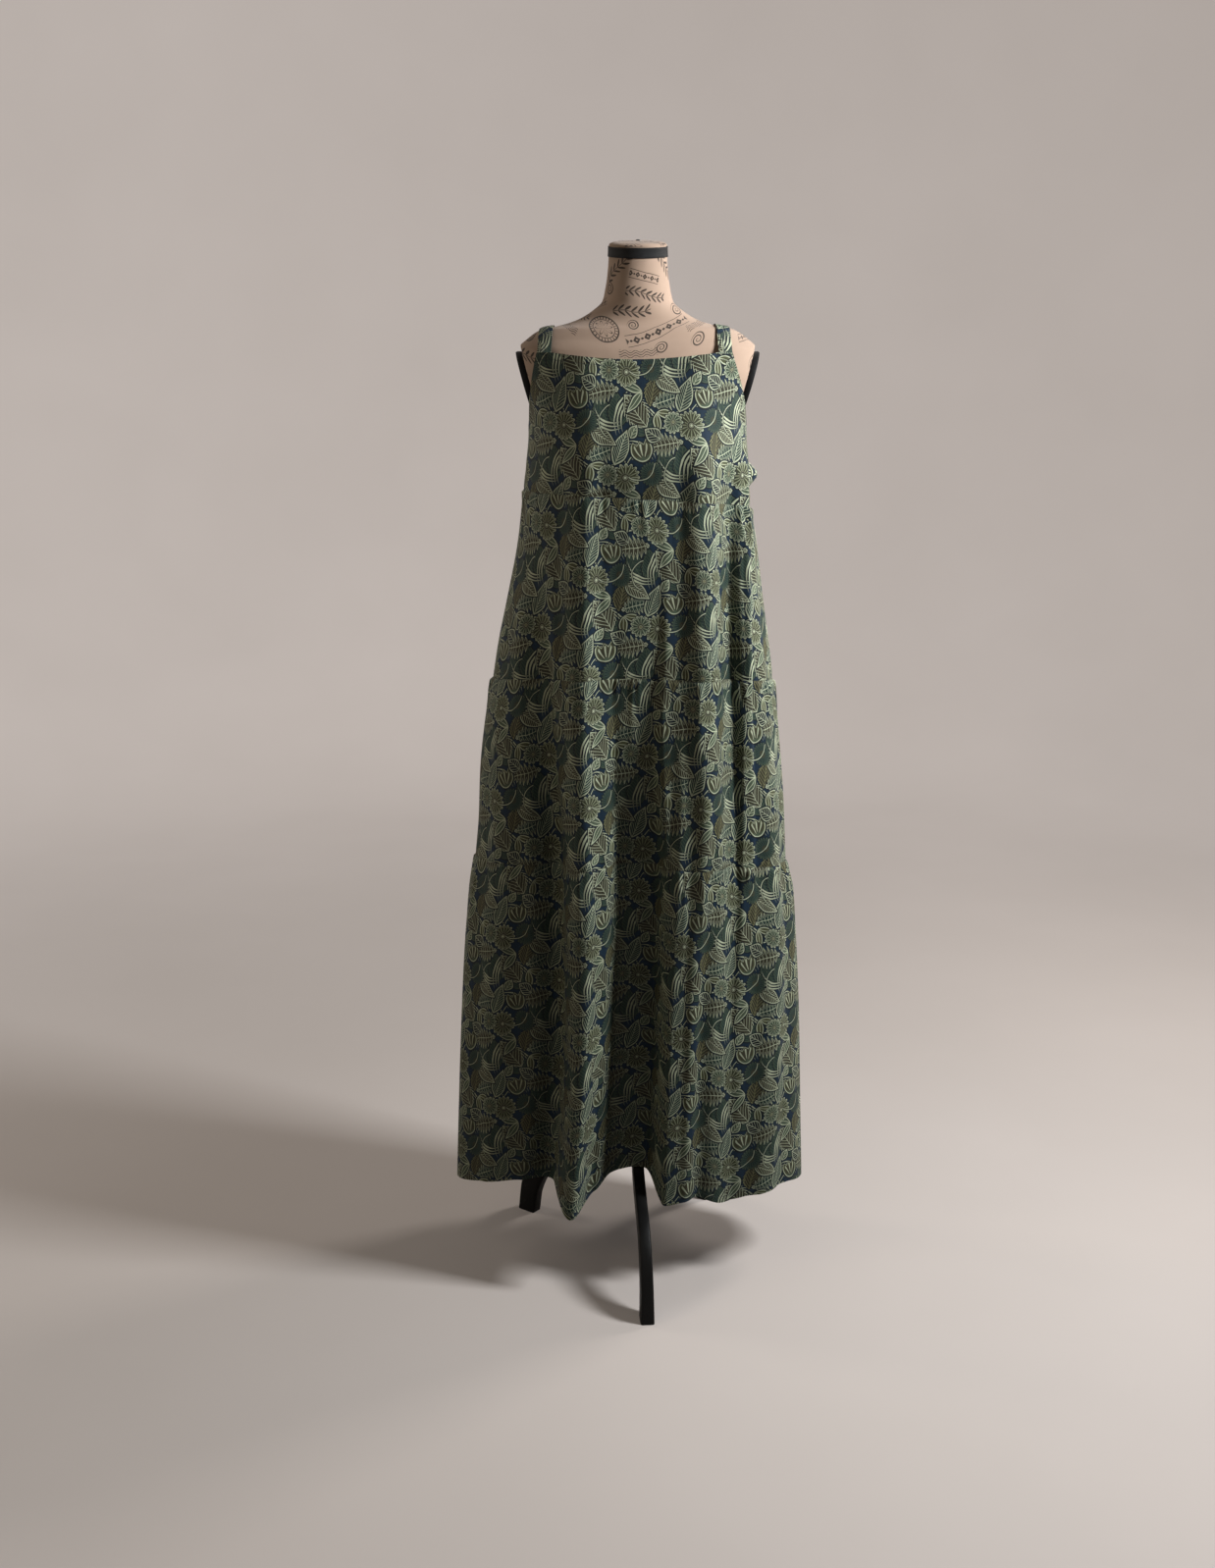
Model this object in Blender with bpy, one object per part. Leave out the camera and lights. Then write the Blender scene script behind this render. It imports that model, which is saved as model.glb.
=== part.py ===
"""Tiered maxi dress on a limbless dress form with a three-legged stand.

Metres, +Z up, the front faces -Y. Left and right are as seen from the front, so left is -X.
Tables and functions use the stand's pole as their axis, with the floor at height 0. At the end all
pieces hang on one empty, placed so that the origin is the middle of the whole object's footprint.

Every dress panel is a wall of cloth. Its outer face is a plain ring, measured from the garment's
outline, with the large folds laid on it and small gathers under each seam of a tier.
"""

import math

import bmesh
import bpy
import numpy as np

# Cloth and clearances
WALL = 0.0015
GAP = 0.0003
STRAP_CLEARANCE = 0.0014
SHOULDER_CORE = 1.46

# Grid of the panels
TIER_COLUMNS = 60
GATHER_ROWS = (0.0, 0.013, 0.045, 0.10)
LOWER_ROWS = {"tier_1": 2, "tier_2": 2, "tier_3": 5}
ARMHOLE_COLUMNS = 5
STRAP_COLUMNS = 2
NECKLINE_COLUMNS = 18
BODICE_ROWS = 7
STRAP_STEPS = 18

# Top edges of the bodice, and where the straps stand on them: distance to the right of the axis
UNDERARM_HEIGHT = 1.395
TOP_HEIGHTS = (1.511, 1.462)
NECKLINE_DIPS = (0.010, 0.004)
STRAP_PLACES = (
    {"left": (-0.152, -0.131), "right": (0.120, 0.141)},
    {"left": (-0.146, -0.124), "right": (0.114, 0.136)},
)

# Gathers: how far a crest stands out just under the seam, and how much the crests differ
GATHER_HEIGHT = 0.0042
GATHER_SEED = 7

# Form and stand
NECK_FOOT = 1.60
ARM_PLATE_LEAN = 0.276
ARM_PLATE_TOP = (0.1765, 1.5128)
ARM_PLATE_THICKNESS = 0.005
ARM_PLATE_HEIGHTS = (1.412, 1.512)
ARM_PLATE_DEPTH = 0.092
NECK_BAND = (1.6525, 1.6675)
NECK_BAND_THICKNESS = 0.0018
NECK_CAP_RISE = 0.006
POLE_RADIUS = 0.0125
HUB_RADIUS = 0.022
HUB_SPAN = (0.222, 0.305)
LEG_THICKNESS = 0.019
FOOT_THICKNESS = 0.023
LEG_TURNS = {"leg_front": 4.2, "leg_left": -127.3, "leg_back": 145.0}
ROUND_SIDES = 32


def table(names, *rows):
    """A table as one array for each named column."""
    return dict(zip(names.split(), np.array(rows, dtype=float).T, strict=True))


# Plain ring of the dress at each height: reach to the left, right, front and back of the axis
DRESS_SECTIONS = table(
    "height  left   right  front  back   square",
    (0.100, 0.306, 0.288, 0.118, 0.168, 2.0),
    (0.150, 0.304, 0.287, 0.120, 0.168, 2.0),
    (0.225, 0.301, 0.284, 0.124, 0.167, 2.0),
    (0.400, 0.293, 0.277, 0.132, 0.164, 2.0),
    (0.575, 0.282, 0.266, 0.139, 0.160, 2.0),
    (0.650, 0.274, 0.258, 0.141, 0.157, 2.0),
    (0.711, 0.263, 0.246, 0.141, 0.153, 2.0),
    (0.780, 0.256, 0.242, 0.143, 0.153, 2.0),
    (0.850, 0.253, 0.236, 0.145, 0.151, 2.0),
    (0.940, 0.243, 0.227, 0.146, 0.146, 2.0),
    (1.006, 0.230, 0.218, 0.144, 0.137, 2.0),
    (1.070, 0.219, 0.209, 0.144, 0.132, 2.1),
    (1.130, 0.206, 0.200, 0.143, 0.126, 2.1),
    (1.225, 0.187, 0.187, 0.141, 0.116, 2.2),
    (1.290, 0.179, 0.175, 0.138, 0.107, 2.3),
    (1.346, 0.172, 0.172, 0.141, 0.104, 2.4),
    (1.395, 0.168, 0.168, 0.133, 0.105, 2.5),
    (1.450, 0.176, 0.176, 0.117, 0.107, 2.5),
    (1.510, 0.192, 0.192, 0.098, 0.104, 2.5),
    (1.540, 0.200, 0.200, 0.090, 0.100, 2.5),
)

# Seams between tiers: height at the left and right side, and how much higher the middle sits
SEAMS = {
    "seam_1": {"left": 1.305, "right": 1.277, "front_rise": 0.008, "back_rise": 0.004},
    "seam_2": {"left": 1.006, "right": 1.004, "front_rise": 0.022, "back_rise": 0.010},
    "seam_3": {"left": 0.711, "right": 0.703, "front_rise": 0.020, "back_rise": 0.008},
}

# Hem: height along the front and the back, by distance to the right of the axis
HEM_FRONT = table(
    "across height",
    (-0.305, 0.142),
    (-0.250, 0.160),
    (-0.180, 0.175),
    (-0.130, 0.166),
    (-0.100, 0.136),
    (-0.070, 0.165),
    (-0.030, 0.190),
    (0.000, 0.195),
    (0.022, 0.190),
    (0.045, 0.150),
    (0.090, 0.157),
    (0.150, 0.140),
    (0.200, 0.146),
    (0.250, 0.152),
    (0.290, 0.142),
)
HEM_BACK = table(
    "across height",
    (-0.305, 0.142),
    (-0.200, 0.150),
    (-0.120, 0.140),
    (-0.040, 0.158),
    (0.030, 0.150),
    (0.090, 0.170),
    (0.160, 0.150),
    (0.290, 0.142),
)

# Large folds. STATIONS are the heights at which a fold's place and its height off the ring are
# given, ridges above 0 and valleys below. FLAT is half the width of its crest or floor, and
# SLOPE_LEFT and SLOPE_RIGHT are the widths of its sides.
STATIONS = np.array([0.15, 0.45, 0.71, 0.95, 1.10, 1.28, 1.40])
FOLD_COLUMNS = ("panel", "places", "heights", "flat", "slope_left", "slope_right")
FOLDS = {
    "left_bust_ridge": (
        "front",
        (-0.099, -0.066, -0.064, -0.074, -0.075, -0.074, -0.073),
        (0.052, 0.028, 0.020, 0.013, 0.011, 0.008, 0.004),
        0.004,
        0.048,
        0.024,
    ),
    "left_valley": (
        "front",
        (-0.155, -0.142, -0.146, -0.157, -0.165, -0.165, -0.160),
        (-0.026, -0.017, -0.017, -0.012, -0.004, 0.0, 0.0),
        0.010,
        0.050,
        0.036,
    ),
    "left_side_ridge": (
        "front",
        (-0.235, -0.228, -0.215, -0.205, -0.190, -0.180, -0.170),
        (0.006, 0.007, 0.005, 0.002, 0.0, 0.0, 0.0),
        0.004,
        0.040,
        0.040,
    ),
    "middle_valley": (
        "front",
        (-0.014, -0.002, 0.002, -0.006, 0.000, 0.000, 0.000),
        (-0.034, -0.036, -0.032, -0.010, 0.0, 0.0, 0.0),
        0.030,
        0.024,
        0.016,
    ),
    "middle_ridge": (
        "front",
        (0.056, 0.064, 0.075, 0.080, 0.080, 0.080, 0.080),
        (0.022, 0.015, 0.010, 0.004, 0.0, 0.0, 0.0),
        0.008,
        0.020,
        0.050,
    ),
    "inner_right_ridge": (
        "front",
        (0.084, 0.089, 0.099, 0.110, 0.115, 0.115, 0.115),
        (0.006, 0.007, 0.006, 0.001, 0.0, 0.0, 0.0),
        0.002,
        0.016,
        0.014,
    ),
    "right_bust_ridge": (
        "front",
        (0.127, 0.130, 0.133, 0.135, 0.134, 0.129, 0.125),
        (0.010, 0.010, 0.009, 0.011, 0.011, 0.008, 0.003),
        0.003,
        0.032,
        0.018,
    ),
    "right_valley": (
        "front",
        (0.160, 0.155, 0.170, 0.163, 0.156, 0.152, 0.150),
        (-0.006, -0.008, -0.003, -0.008, -0.009, -0.006, 0.0),
        0.003,
        0.018,
        0.018,
    ),
    "right_side_ridge": (
        "front",
        (0.215, 0.222, 0.215, 0.200, 0.178, 0.166, 0.160),
        (0.010, 0.010, 0.008, 0.004, 0.005, 0.004, 0.0),
        0.004,
        0.034,
        0.034,
    ),
    "back_right_valley": (
        "back",
        (0.222, 0.215, 0.200, 0.188, 0.175, 0.165, 0.160),
        (-0.016, -0.014, -0.010, -0.005, 0.0, 0.0, 0.0),
        0.008,
        0.036,
        0.036,
    ),
    "back_right_ridge": (
        "back",
        (0.150, 0.146, 0.140, 0.130, 0.122, 0.115, 0.110),
        (0.026, 0.020, 0.014, 0.010, 0.007, 0.003, 0.0),
        0.006,
        0.034,
        0.034,
    ),
    "back_inner_valley": (
        "back",
        (0.072, 0.074, 0.072, 0.070, 0.068, 0.065, 0.060),
        (-0.020, -0.022, -0.018, -0.008, 0.0, 0.0, 0.0),
        0.012,
        0.030,
        0.028,
    ),
    "back_middle_ridge": (
        "back",
        (-0.002, 0.004, 0.006, 0.004, 0.002, 0.000, 0.000),
        (0.024, 0.018, 0.012, 0.008, 0.004, 0.0, 0.0),
        0.006,
        0.032,
        0.034,
    ),
    "back_left_valley": (
        "back",
        (-0.082, -0.078, -0.074, -0.070, -0.066, -0.060, -0.060),
        (-0.032, -0.028, -0.022, -0.010, -0.002, 0.0, 0.0),
        0.014,
        0.026,
        0.032,
    ),
    "back_left_ridge": (
        "back",
        (-0.165, -0.158, -0.148, -0.138, -0.128, -0.115, -0.110),
        (0.028, 0.020, 0.014, 0.009, 0.006, 0.003, 0.0),
        0.006,
        0.036,
        0.032,
    ),
    "back_left_side_valley": (
        "back",
        (-0.240, -0.230, -0.218, -0.205, -0.190, -0.175, -0.170),
        (-0.014, -0.012, -0.009, -0.004, 0.0, 0.0, 0.0),
        0.008,
        0.034,
        0.034,
    ),
}

# One local pucker of the back bodice, just behind the right side seam
PUCKER = {"height": 1.326, "behind_seam": 0.016, "rise": 0.022, "reach": 0.020, "span": 0.024}

# Dress form, without its arm plates: reach to each side, front and back, and the ring's forward lean
FORM_SECTIONS = table(
    "height  side    front  back   square  lean",
    (0.8600, 0.1500, 0.082, 0.108, 2.2, 0.0),
    (0.8680, 0.1550, 0.087, 0.114, 2.2, 0.0),
    (0.9300, 0.1580, 0.094, 0.120, 2.2, 0.0),
    (1.0200, 0.1430, 0.098, 0.108, 2.2, 0.0),
    (1.1300, 0.1180, 0.092, 0.085, 2.2, 0.0),
    (1.2300, 0.1300, 0.108, 0.082, 2.2, 0.0),
    (1.3000, 0.1380, 0.122, 0.086, 2.3, 0.0),
    (1.3450, 0.1420, 0.127, 0.089, 2.3, 0.0),
    (1.4000, 0.1460, 0.120, 0.093, 2.3, 0.0),
    (1.4250, 0.1580, 0.114, 0.095, 2.3, 0.0),
    (1.4500, 0.1740, 0.107, 0.096, 2.3, 0.0),
    (1.4850, 0.1870, 0.097, 0.093, 2.3, 0.0),
    (1.5130, 0.1860, 0.086, 0.086, 2.2, 0.0),
    (1.5320, 0.1680, 0.073, 0.078, 2.1, 0.0),
    (1.5463, 0.1445, 0.064, 0.071, 2.0, 0.0),
    (1.5506, 0.1210, 0.060, 0.068, 2.0, 0.0),
    (1.5600, 0.0910, 0.055, 0.062, 2.0, 0.0),
    (1.5730, 0.0690, 0.053, 0.058, 2.0, 0.0),
    (1.5870, 0.0540, 0.052, 0.055, 2.0, 0.02),
    (1.6050, 0.0495, 0.049, 0.051, 2.0, 0.05),
    (1.6230, 0.0466, 0.046, 0.048, 2.0, 0.09),
    (1.6450, 0.0447, 0.044, 0.046, 2.0, 0.12),
    (1.6690, 0.0438, 0.0435, 0.045, 2.0, 0.12),
)

# Upper and lower edge of a leg's board, by distance out from the axis, from its root to its foot
LEG_EDGES = table(
    "upper_out upper_height lower_out lower_height",
    (0.0223, 0.288, 0.0223, 0.238),
    (0.046, 0.240, 0.038, 0.198),
    (0.088, 0.185, 0.076, 0.154),
    (0.138, 0.160, 0.128, 0.127),
    (0.190, 0.136, 0.175, 0.101),
    (0.229, 0.096, 0.198, 0.070),
    (0.248, 0.050, 0.212, 0.036),
    (0.254, 0.000, 0.218, 0.000),
)

SHARES = 128
DENSE = 512
LEVELS = np.linspace(0.10, 1.54, 145)
SMALL_STEP = 0.002


# Curves and rings


def smooth_curve(at, knots, values):
    """Values on a smooth curve through the knots that doesn't overshoot them."""
    knots = np.asarray(knots, dtype=float)
    values = np.asarray(values, dtype=float)
    step = np.diff(knots)
    rise = np.diff(values) / step
    slope = np.zeros(len(knots))
    slope[0] = rise[0]
    slope[-1] = rise[-1]
    for k in range(1, len(knots) - 1):
        if rise[k - 1] * rise[k] > 0:
            slope[k] = 2 * rise[k - 1] * rise[k] / (rise[k - 1] + rise[k])
    at = np.clip(at, knots[0], knots[-1])
    k = np.clip(np.searchsorted(knots, at, side="right") - 1, 0, len(step) - 1)
    t = (at - knots[k]) / step[k]
    return (
        values[k] * (1 + 2 * t) * (1 - t) ** 2
        + slope[k] * step[k] * t * (1 - t) ** 2
        + values[k + 1] * t**2 * (3 - 2 * t)
        + slope[k + 1] * step[k] * t**2 * (t - 1)
    )


def section(sections, height, *names):
    """Named measures of a table of sections at a height."""
    return [smooth_curve(height, sections["height"], sections[name]) for name in names]


def super_ring(turn, left, right, front, back, square):
    """Points of a squared oval. A turn of 0 is its left end and half a circle runs along its front."""
    across = np.cos(turn)
    forward = np.sin(turn)
    power = 2 / square
    x = -np.sign(across) * np.abs(across) ** power * np.where(across > 0, left, right)
    y = -np.sign(forward) * np.abs(forward) ** power * np.where(forward > 0, front, back)
    return x, y


def measure_rings():
    """Evenly spaced points of the plain ring at every level, and each panel's length round it."""
    points = np.zeros((len(LEVELS), 2, SHARES + 1, 2))
    lengths = np.zeros((len(LEVELS), 2))
    shares = np.linspace(0, 1, SHARES + 1)
    for level, height in enumerate(LEVELS):
        sizes = section(DRESS_SECTIONS, height, "left", "right", "front", "back", "square")
        for panel in (0, 1):
            turn = np.linspace(0, math.pi, DENSE + 1) + panel * math.pi
            x, y = super_ring(turn, *sizes)
            run = np.concatenate([[0], np.cumsum(np.hypot(np.diff(x), np.diff(y)))])
            lengths[level, panel] = run[-1]
            points[level, panel, :, 0] = np.interp(shares * run[-1], run, x)
            points[level, panel, :, 1] = np.interp(shares * run[-1], run, y)
    return points, lengths


RING_POINTS, RING_LENGTHS = measure_rings()


def split_around(around):
    """Panel and share of it. Around runs 0 to 1 along the front and 1 to 2 back along the back."""
    around = np.mod(around, 2)
    panel = np.where(around < 1, 0, 1)
    return panel, around - panel


def plain_place(around, height):
    """Plan position on the plain ring."""
    panel, share = split_around(around)
    level = np.clip((height - LEVELS[0]) / (LEVELS[1] - LEVELS[0]), 0, len(LEVELS) - 1.001)
    low = level.astype(int)
    up = (level - low)[..., None]
    column = share * SHARES
    first = np.minimum(column.astype(int), SHARES - 1)
    on = (column - first)[..., None]
    lower = RING_POINTS[low, panel, first] * (1 - on) + RING_POINTS[low, panel, first + 1] * on
    high = low + 1
    upper = RING_POINTS[high, panel, first] * (1 - on) + RING_POINTS[high, panel, first + 1] * on
    return lower * (1 - up) + upper * up


def metres_around(around, height):
    """Distance round the plain ring from the left side seam, and the whole way round."""
    panel, share = split_around(around)
    front = np.interp(height, LEVELS, RING_LENGTHS[:, 0])
    back = np.interp(height, LEVELS, RING_LENGTHS[:, 1])
    return np.where(panel == 0, share * front, front + share * back), front + back


def share_at(across, level, panel):
    """Share of a panel at which the plain ring of a level is that far to the right of the axis."""
    x = RING_POINTS[level, panel, :, 0]
    shares = np.linspace(0, 1, SHARES + 1)
    return np.interp(across, x, shares) if panel == 0 else np.interp(-across, -x, shares)


def outward(points_before, points_after):
    """Unit vectors in plan, out of the dress, from points just before and after on its ring."""
    along = points_after - points_before
    along = along / np.linalg.norm(along, axis=-1, keepdims=True)
    return np.stack([along[..., 1], -along[..., 0]], axis=-1)


# Folds


def fold_profile(distance, flat, slope_left, slope_right):
    """1 on a fold's crest or floor, falling to 0 at the end of its sides."""
    slope = np.where(distance < 0, slope_left, slope_right)
    t = np.clip((np.abs(distance) - flat) / slope, 0, 1)
    return 0.5 * (1 + np.cos(math.pi * t))


def fold_routes():
    """Each fold's distance round the ring at every level."""
    routes = {}
    for name, row in FOLDS.items():
        fold = dict(zip(FOLD_COLUMNS, row, strict=True))
        panel = 0 if fold["panel"] == "front" else 1
        across = smooth_curve(LEVELS, STATIONS, fold["places"])
        shares = np.array([share_at(x, level, panel) for level, x in enumerate(across)])
        start = RING_LENGTHS[:, 0] if panel else 0
        routes[name] = start + shares * RING_LENGTHS[:, panel]
    return routes


FOLD_ROUTES = fold_routes()


def fold_offset(around, height):
    """How far the large folds move the cloth out of the plain ring."""
    here, whole = metres_around(around, height)
    offset = np.zeros(np.shape(here))
    for name, row in FOLDS.items():
        fold = dict(zip(FOLD_COLUMNS, row, strict=True))
        centre = np.interp(height, LEVELS, FOLD_ROUTES[name])
        distance = np.mod(here - centre + whole / 2, whole) - whole / 2
        profile = fold_profile(distance, fold["flat"], fold["slope_left"], fold["slope_right"])
        offset += smooth_curve(height, STATIONS, fold["heights"]) * profile
    return offset


def pucker_offset(around, height):
    """The small bulge of the back bodice beside the right side seam."""
    here, whole = metres_around(around, height)
    seam, _ = metres_around(np.ones(np.shape(here)), height)
    sideways = np.clip(np.abs(here - seam - PUCKER["behind_seam"]) / PUCKER["reach"], 0, 1)
    upright = np.clip(np.abs(height - PUCKER["height"]) / PUCKER["span"], 0, 1)
    return PUCKER["rise"] * 0.25 * (1 + np.cos(math.pi * sideways)) * (1 + np.cos(math.pi * upright))


def cloth_place(around, height, extra=0.0):
    """Plan position of the cloth's outer face."""
    plain = plain_place(around, height)
    out = outward(
        plain_place(around - SMALL_STEP, height), plain_place(around + SMALL_STEP, height)
    )
    offset = fold_offset(around, height) + pucker_offset(around, height) + extra
    return plain + out * offset[..., None]


def cloth_wall(around, height, extra=0.0):
    """Outer and inner points of the cloth at an array of places."""
    outer = cloth_place(around, height, extra)
    out = outward(
        cloth_place(around - SMALL_STEP, height), cloth_place(around + SMALL_STEP, height)
    )
    inner = outer - out * WALL
    lift = height[..., None]
    return np.concatenate([outer, lift], axis=-1), np.concatenate([inner, lift], axis=-1)


def measure_cloth():
    """For every level and panel, the places at equal steps along the folded cloth."""
    fine = np.linspace(0, 1, 4 * SHARES + 1)
    places = np.zeros((len(LEVELS), 2, SHARES + 1))
    for level, height in enumerate(LEVELS):
        for panel in (0, 1):
            around = np.clip(panel + fine, panel, panel + 1 - 1e-9)
            points = cloth_place(around, np.full(len(fine), height))
            steps = np.linalg.norm(np.diff(points, axis=0), axis=-1)
            run = np.concatenate([[0], np.cumsum(steps)])
            places[level, panel] = np.interp(np.linspace(0, run[-1], SHARES + 1), run, around)
    return places


CLOTH_PLACES = measure_cloth()


def cloth_around(panel, width_share, height):
    """Place round the dress of a thread that lies at some share of a panel's width of cloth."""
    level = np.clip((height - LEVELS[0]) / (LEVELS[1] - LEVELS[0]), 0, len(LEVELS) - 1.001)
    low = level.astype(int)
    up = level - low
    column = width_share * SHARES
    first = np.minimum(column.astype(int), SHARES - 1)
    on = column - first
    near = CLOTH_PLACES[:, panel]
    lower = near[low, first] * (1 - on) + near[low, first + 1] * on
    upper = near[low + 1, first] * (1 - on) + near[low + 1, first + 1] * on
    return lower * (1 - up) + upper * up


# Edges of the panels


def seam_height(name, around):
    seam = SEAMS[name]
    panel, share = split_around(around)
    rightward = np.where(panel == 0, share, 1 - share)
    rise = np.where(panel == 0, seam["front_rise"], seam["back_rise"])
    side = seam["left"] + (seam["right"] - seam["left"]) * rightward
    return side + rise * np.sin(math.pi * share)


def seam_line(name, panel, width_share):
    """Height of a seam at each share of a panel's width of cloth."""
    level = np.full(len(width_share), (SEAMS[name]["left"] + SEAMS[name]["right"]) / 2)
    return seam_height(name, cloth_around(panel, width_share, level))


def hem_line(panel, width_share):
    """Height of the hem at each share of a panel's width of cloth."""
    level = np.full(len(width_share), HEM_FRONT["height"].min())
    across = plain_place(cloth_around(panel, width_share, level), level)[..., 0]
    hem = HEM_FRONT if panel == 0 else HEM_BACK
    return smooth_curve(across, hem["across"], hem["height"])


def strap_shares(panel):
    """Shares of a bodice panel at the four edges of its straps."""
    places = STRAP_PLACES[panel]
    level = int(np.argmin(np.abs(LEVELS - TOP_HEIGHTS[panel])))
    return np.sort([share_at(x, level, panel) for pair in places.values() for x in pair])


def bodice_top(panel, share):
    """Height of the bodice's top edge: neckline between the armhole curves."""
    first, second, third, fourth = strap_shares(panel)
    climb = np.minimum(np.minimum(share / first, (1 - share) / (1 - fourth)), 1)
    inward = np.clip((share - second) / (third - second), 0, 1)
    armhole = (TOP_HEIGHTS[panel] - UNDERARM_HEIGHT) * climb**2
    return UNDERARM_HEIGHT + armhole - NECKLINE_DIPS[panel] * np.sin(math.pi * inward)


# Meshes


def add_object(name, mesh_data, material):
    """An object of one closed mesh, shaded smooth up to 40 degrees."""
    points, faces = mesh_data
    mesh = bpy.data.meshes.new(name)
    mesh.from_pydata([tuple(p) for p in points], [], faces)
    mesh.materials.append(material)
    scratch = bmesh.new()
    scratch.from_mesh(mesh)
    bmesh.ops.recalc_face_normals(scratch, faces=scratch.faces)
    scratch.to_mesh(mesh)
    scratch.free()
    mesh.shade_smooth()
    mesh.set_sharp_from_angle(angle=math.radians(40))
    piece = bpy.data.objects.new(name, mesh)
    bpy.context.scene.collection.objects.link(piece)
    return piece


def wall_mesh(outer, inner):
    """A closed wall between two grids of points, given as rows of columns."""
    rows, columns = outer.shape[:2]
    points = np.concatenate([outer.reshape(-1, 3), inner.reshape(-1, 3)])
    back = rows * columns

    def at(row, column, side):
        return side * back + row * columns + column

    faces = []
    for row in range(rows - 1):
        for column in range(columns - 1):
            corners = ((row, column), (row, column + 1), (row + 1, column + 1), (row + 1, column))
            faces.append([at(r, c, 0) for r, c in corners])
            faces.append([at(r, c, 1) for r, c in reversed(corners)])
    edge_steps = [
        ((row, column), (row + 1, column)) for row in range(rows - 1) for column in (0, columns - 1)
    ]
    edge_steps += [
        ((row, column), (row, column + 1)) for column in range(columns - 1) for row in (0, rows - 1)
    ]
    for start, end in edge_steps:
        faces.append([at(*start, 0), at(*end, 0), at(*end, 1), at(*start, 1)])
    return points, faces


def loft_mesh(rings):
    """A closed solid through rings of points, capped at both ends."""
    rings = np.array(rings)
    count, sides = rings.shape[:2]
    faces = [list(range(sides)), list(range((count - 1) * sides, count * sides))]
    for ring in range(count - 1):
        for side in range(sides):
            after = (side + 1) % sides
            low = ring * sides
            faces.append([low + side, low + after, low + sides + after, low + sides + side])
    return rings.reshape(-1, 3), faces


def circle_rings(profile, sides=ROUND_SIDES):
    """Rings of a turned shape round the pole's axis, from (radius, height) pairs."""
    turn = np.linspace(0, 2 * math.pi, sides, endpoint=False)
    return [
        np.stack([r * np.cos(turn), r * np.sin(turn), np.full(sides, z)], axis=-1) for r, z in profile
    ]


def make_material(name, colour, roughness, metallic=0.0):
    material = bpy.data.materials.new(name)
    material.use_nodes = True
    shader = material.node_tree.nodes["Principled BSDF"]
    shader.inputs["Base Color"].default_value = (*colour, 1)
    shader.inputs["Roughness"].default_value = roughness
    shader.inputs["Metallic"].default_value = metallic
    return material


# Dress


def side_gap(wall_pair, panel):
    """Draws the two end columns of a panel back from its side seams by half a gap."""
    forward = -1 if panel == 0 else 1
    for grid in wall_pair:
        for column in (0, -1):
            grid[:, column, 1] += forward * GAP / 2
    return wall_pair


def gather_crests(panel, tier):
    """Height of each column over the folds just under a seam: troughs, with uneven crests between."""
    chance = np.random.default_rng(GATHER_SEED + 2 * tier + panel)
    crests = np.zeros(TIER_COLUMNS + 1)
    crests[1::2] = GATHER_HEIGHT * chance.uniform(0.45, 1.25, TIER_COLUMNS // 2)
    lasting = chance.uniform(0.05, 0.60, TIER_COLUMNS + 1)
    return crests, lasting


def tier_panel(tier, panel, material):
    """One half of a gathered tier, from its seam down to the next seam or to the hem."""
    name = f"tier_{tier}"
    width_share = np.linspace(0, 1, TIER_COLUMNS + 1)
    top = seam_line(f"seam_{tier}", panel, width_share) - GAP / 2
    if tier == 3:
        bottom = hem_line(panel, width_share)
    else:
        bottom = seam_line(f"seam_{tier + 1}", panel, width_share) + GAP / 2
    crests, lasting = gather_crests(panel, tier)
    rise = {0: 0 * crests, 1: crests, 2: crests * lasting, 3: crests * lasting**2}
    rows = [(top - drop, rise[k]) for k, drop in enumerate(GATHER_ROWS)]
    gathered = top - GATHER_ROWS[-1]
    for k in range(1, LOWER_ROWS[name] + 1):
        rows.append((gathered + (bottom - gathered) * k / LOWER_ROWS[name], 0 * crests))
    height = np.array([row[0] for row in rows])
    extra = np.array([row[1] for row in rows])
    around = cloth_around(panel, np.broadcast_to(width_share, height.shape), height)
    walls = side_gap(cloth_wall(around, height, extra), panel)
    side = "front" if panel == 0 else "back"
    return add_object(f"{name}_{side}", wall_mesh(*walls), material)


def bodice_shares(panel):
    """Shares of a bodice panel for its columns, with one at each corner of its top edge."""
    stops = [0, *strap_shares(panel), 1]
    counts = [ARMHOLE_COLUMNS, STRAP_COLUMNS, NECKLINE_COLUMNS, STRAP_COLUMNS, ARMHOLE_COLUMNS]
    shares = [0.0]
    for start, end, count in zip(stops[:-1], stops[1:], counts, strict=True):
        shares.extend(np.linspace(start, end, count + 1)[1:])
    return np.clip(shares, 0, 1 - 1e-9)


def bodice_panel(panel, material):
    share = bodice_shares(panel)
    top = bodice_top(panel, share)
    bottom = seam_height("seam_1", panel + share) + GAP / 2
    down = np.linspace(0, 1, BODICE_ROWS + 1)[:, None]
    height = top * (1 - down) + bottom * down
    around = np.broadcast_to(panel + share, height.shape)
    walls = side_gap(cloth_wall(around, height), panel)
    return add_object("bodice_front" if panel == 0 else "bodice_back", wall_mesh(*walls), material)


def upper_hull(points):
    """The taut line over a set of (y, height) points, from the first to the last in y."""
    hull = []
    for point in sorted(points):
        while len(hull) > 1:
            (y0, z0), (y1, z1) = hull[-2], hull[-1]
            if (y1 - y0) * (point[1] - z0) - (z1 - z0) * (point[0] - y0) < 0:
                break
            hull.pop()
        hull.append(point)
    return np.array(hull)


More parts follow.
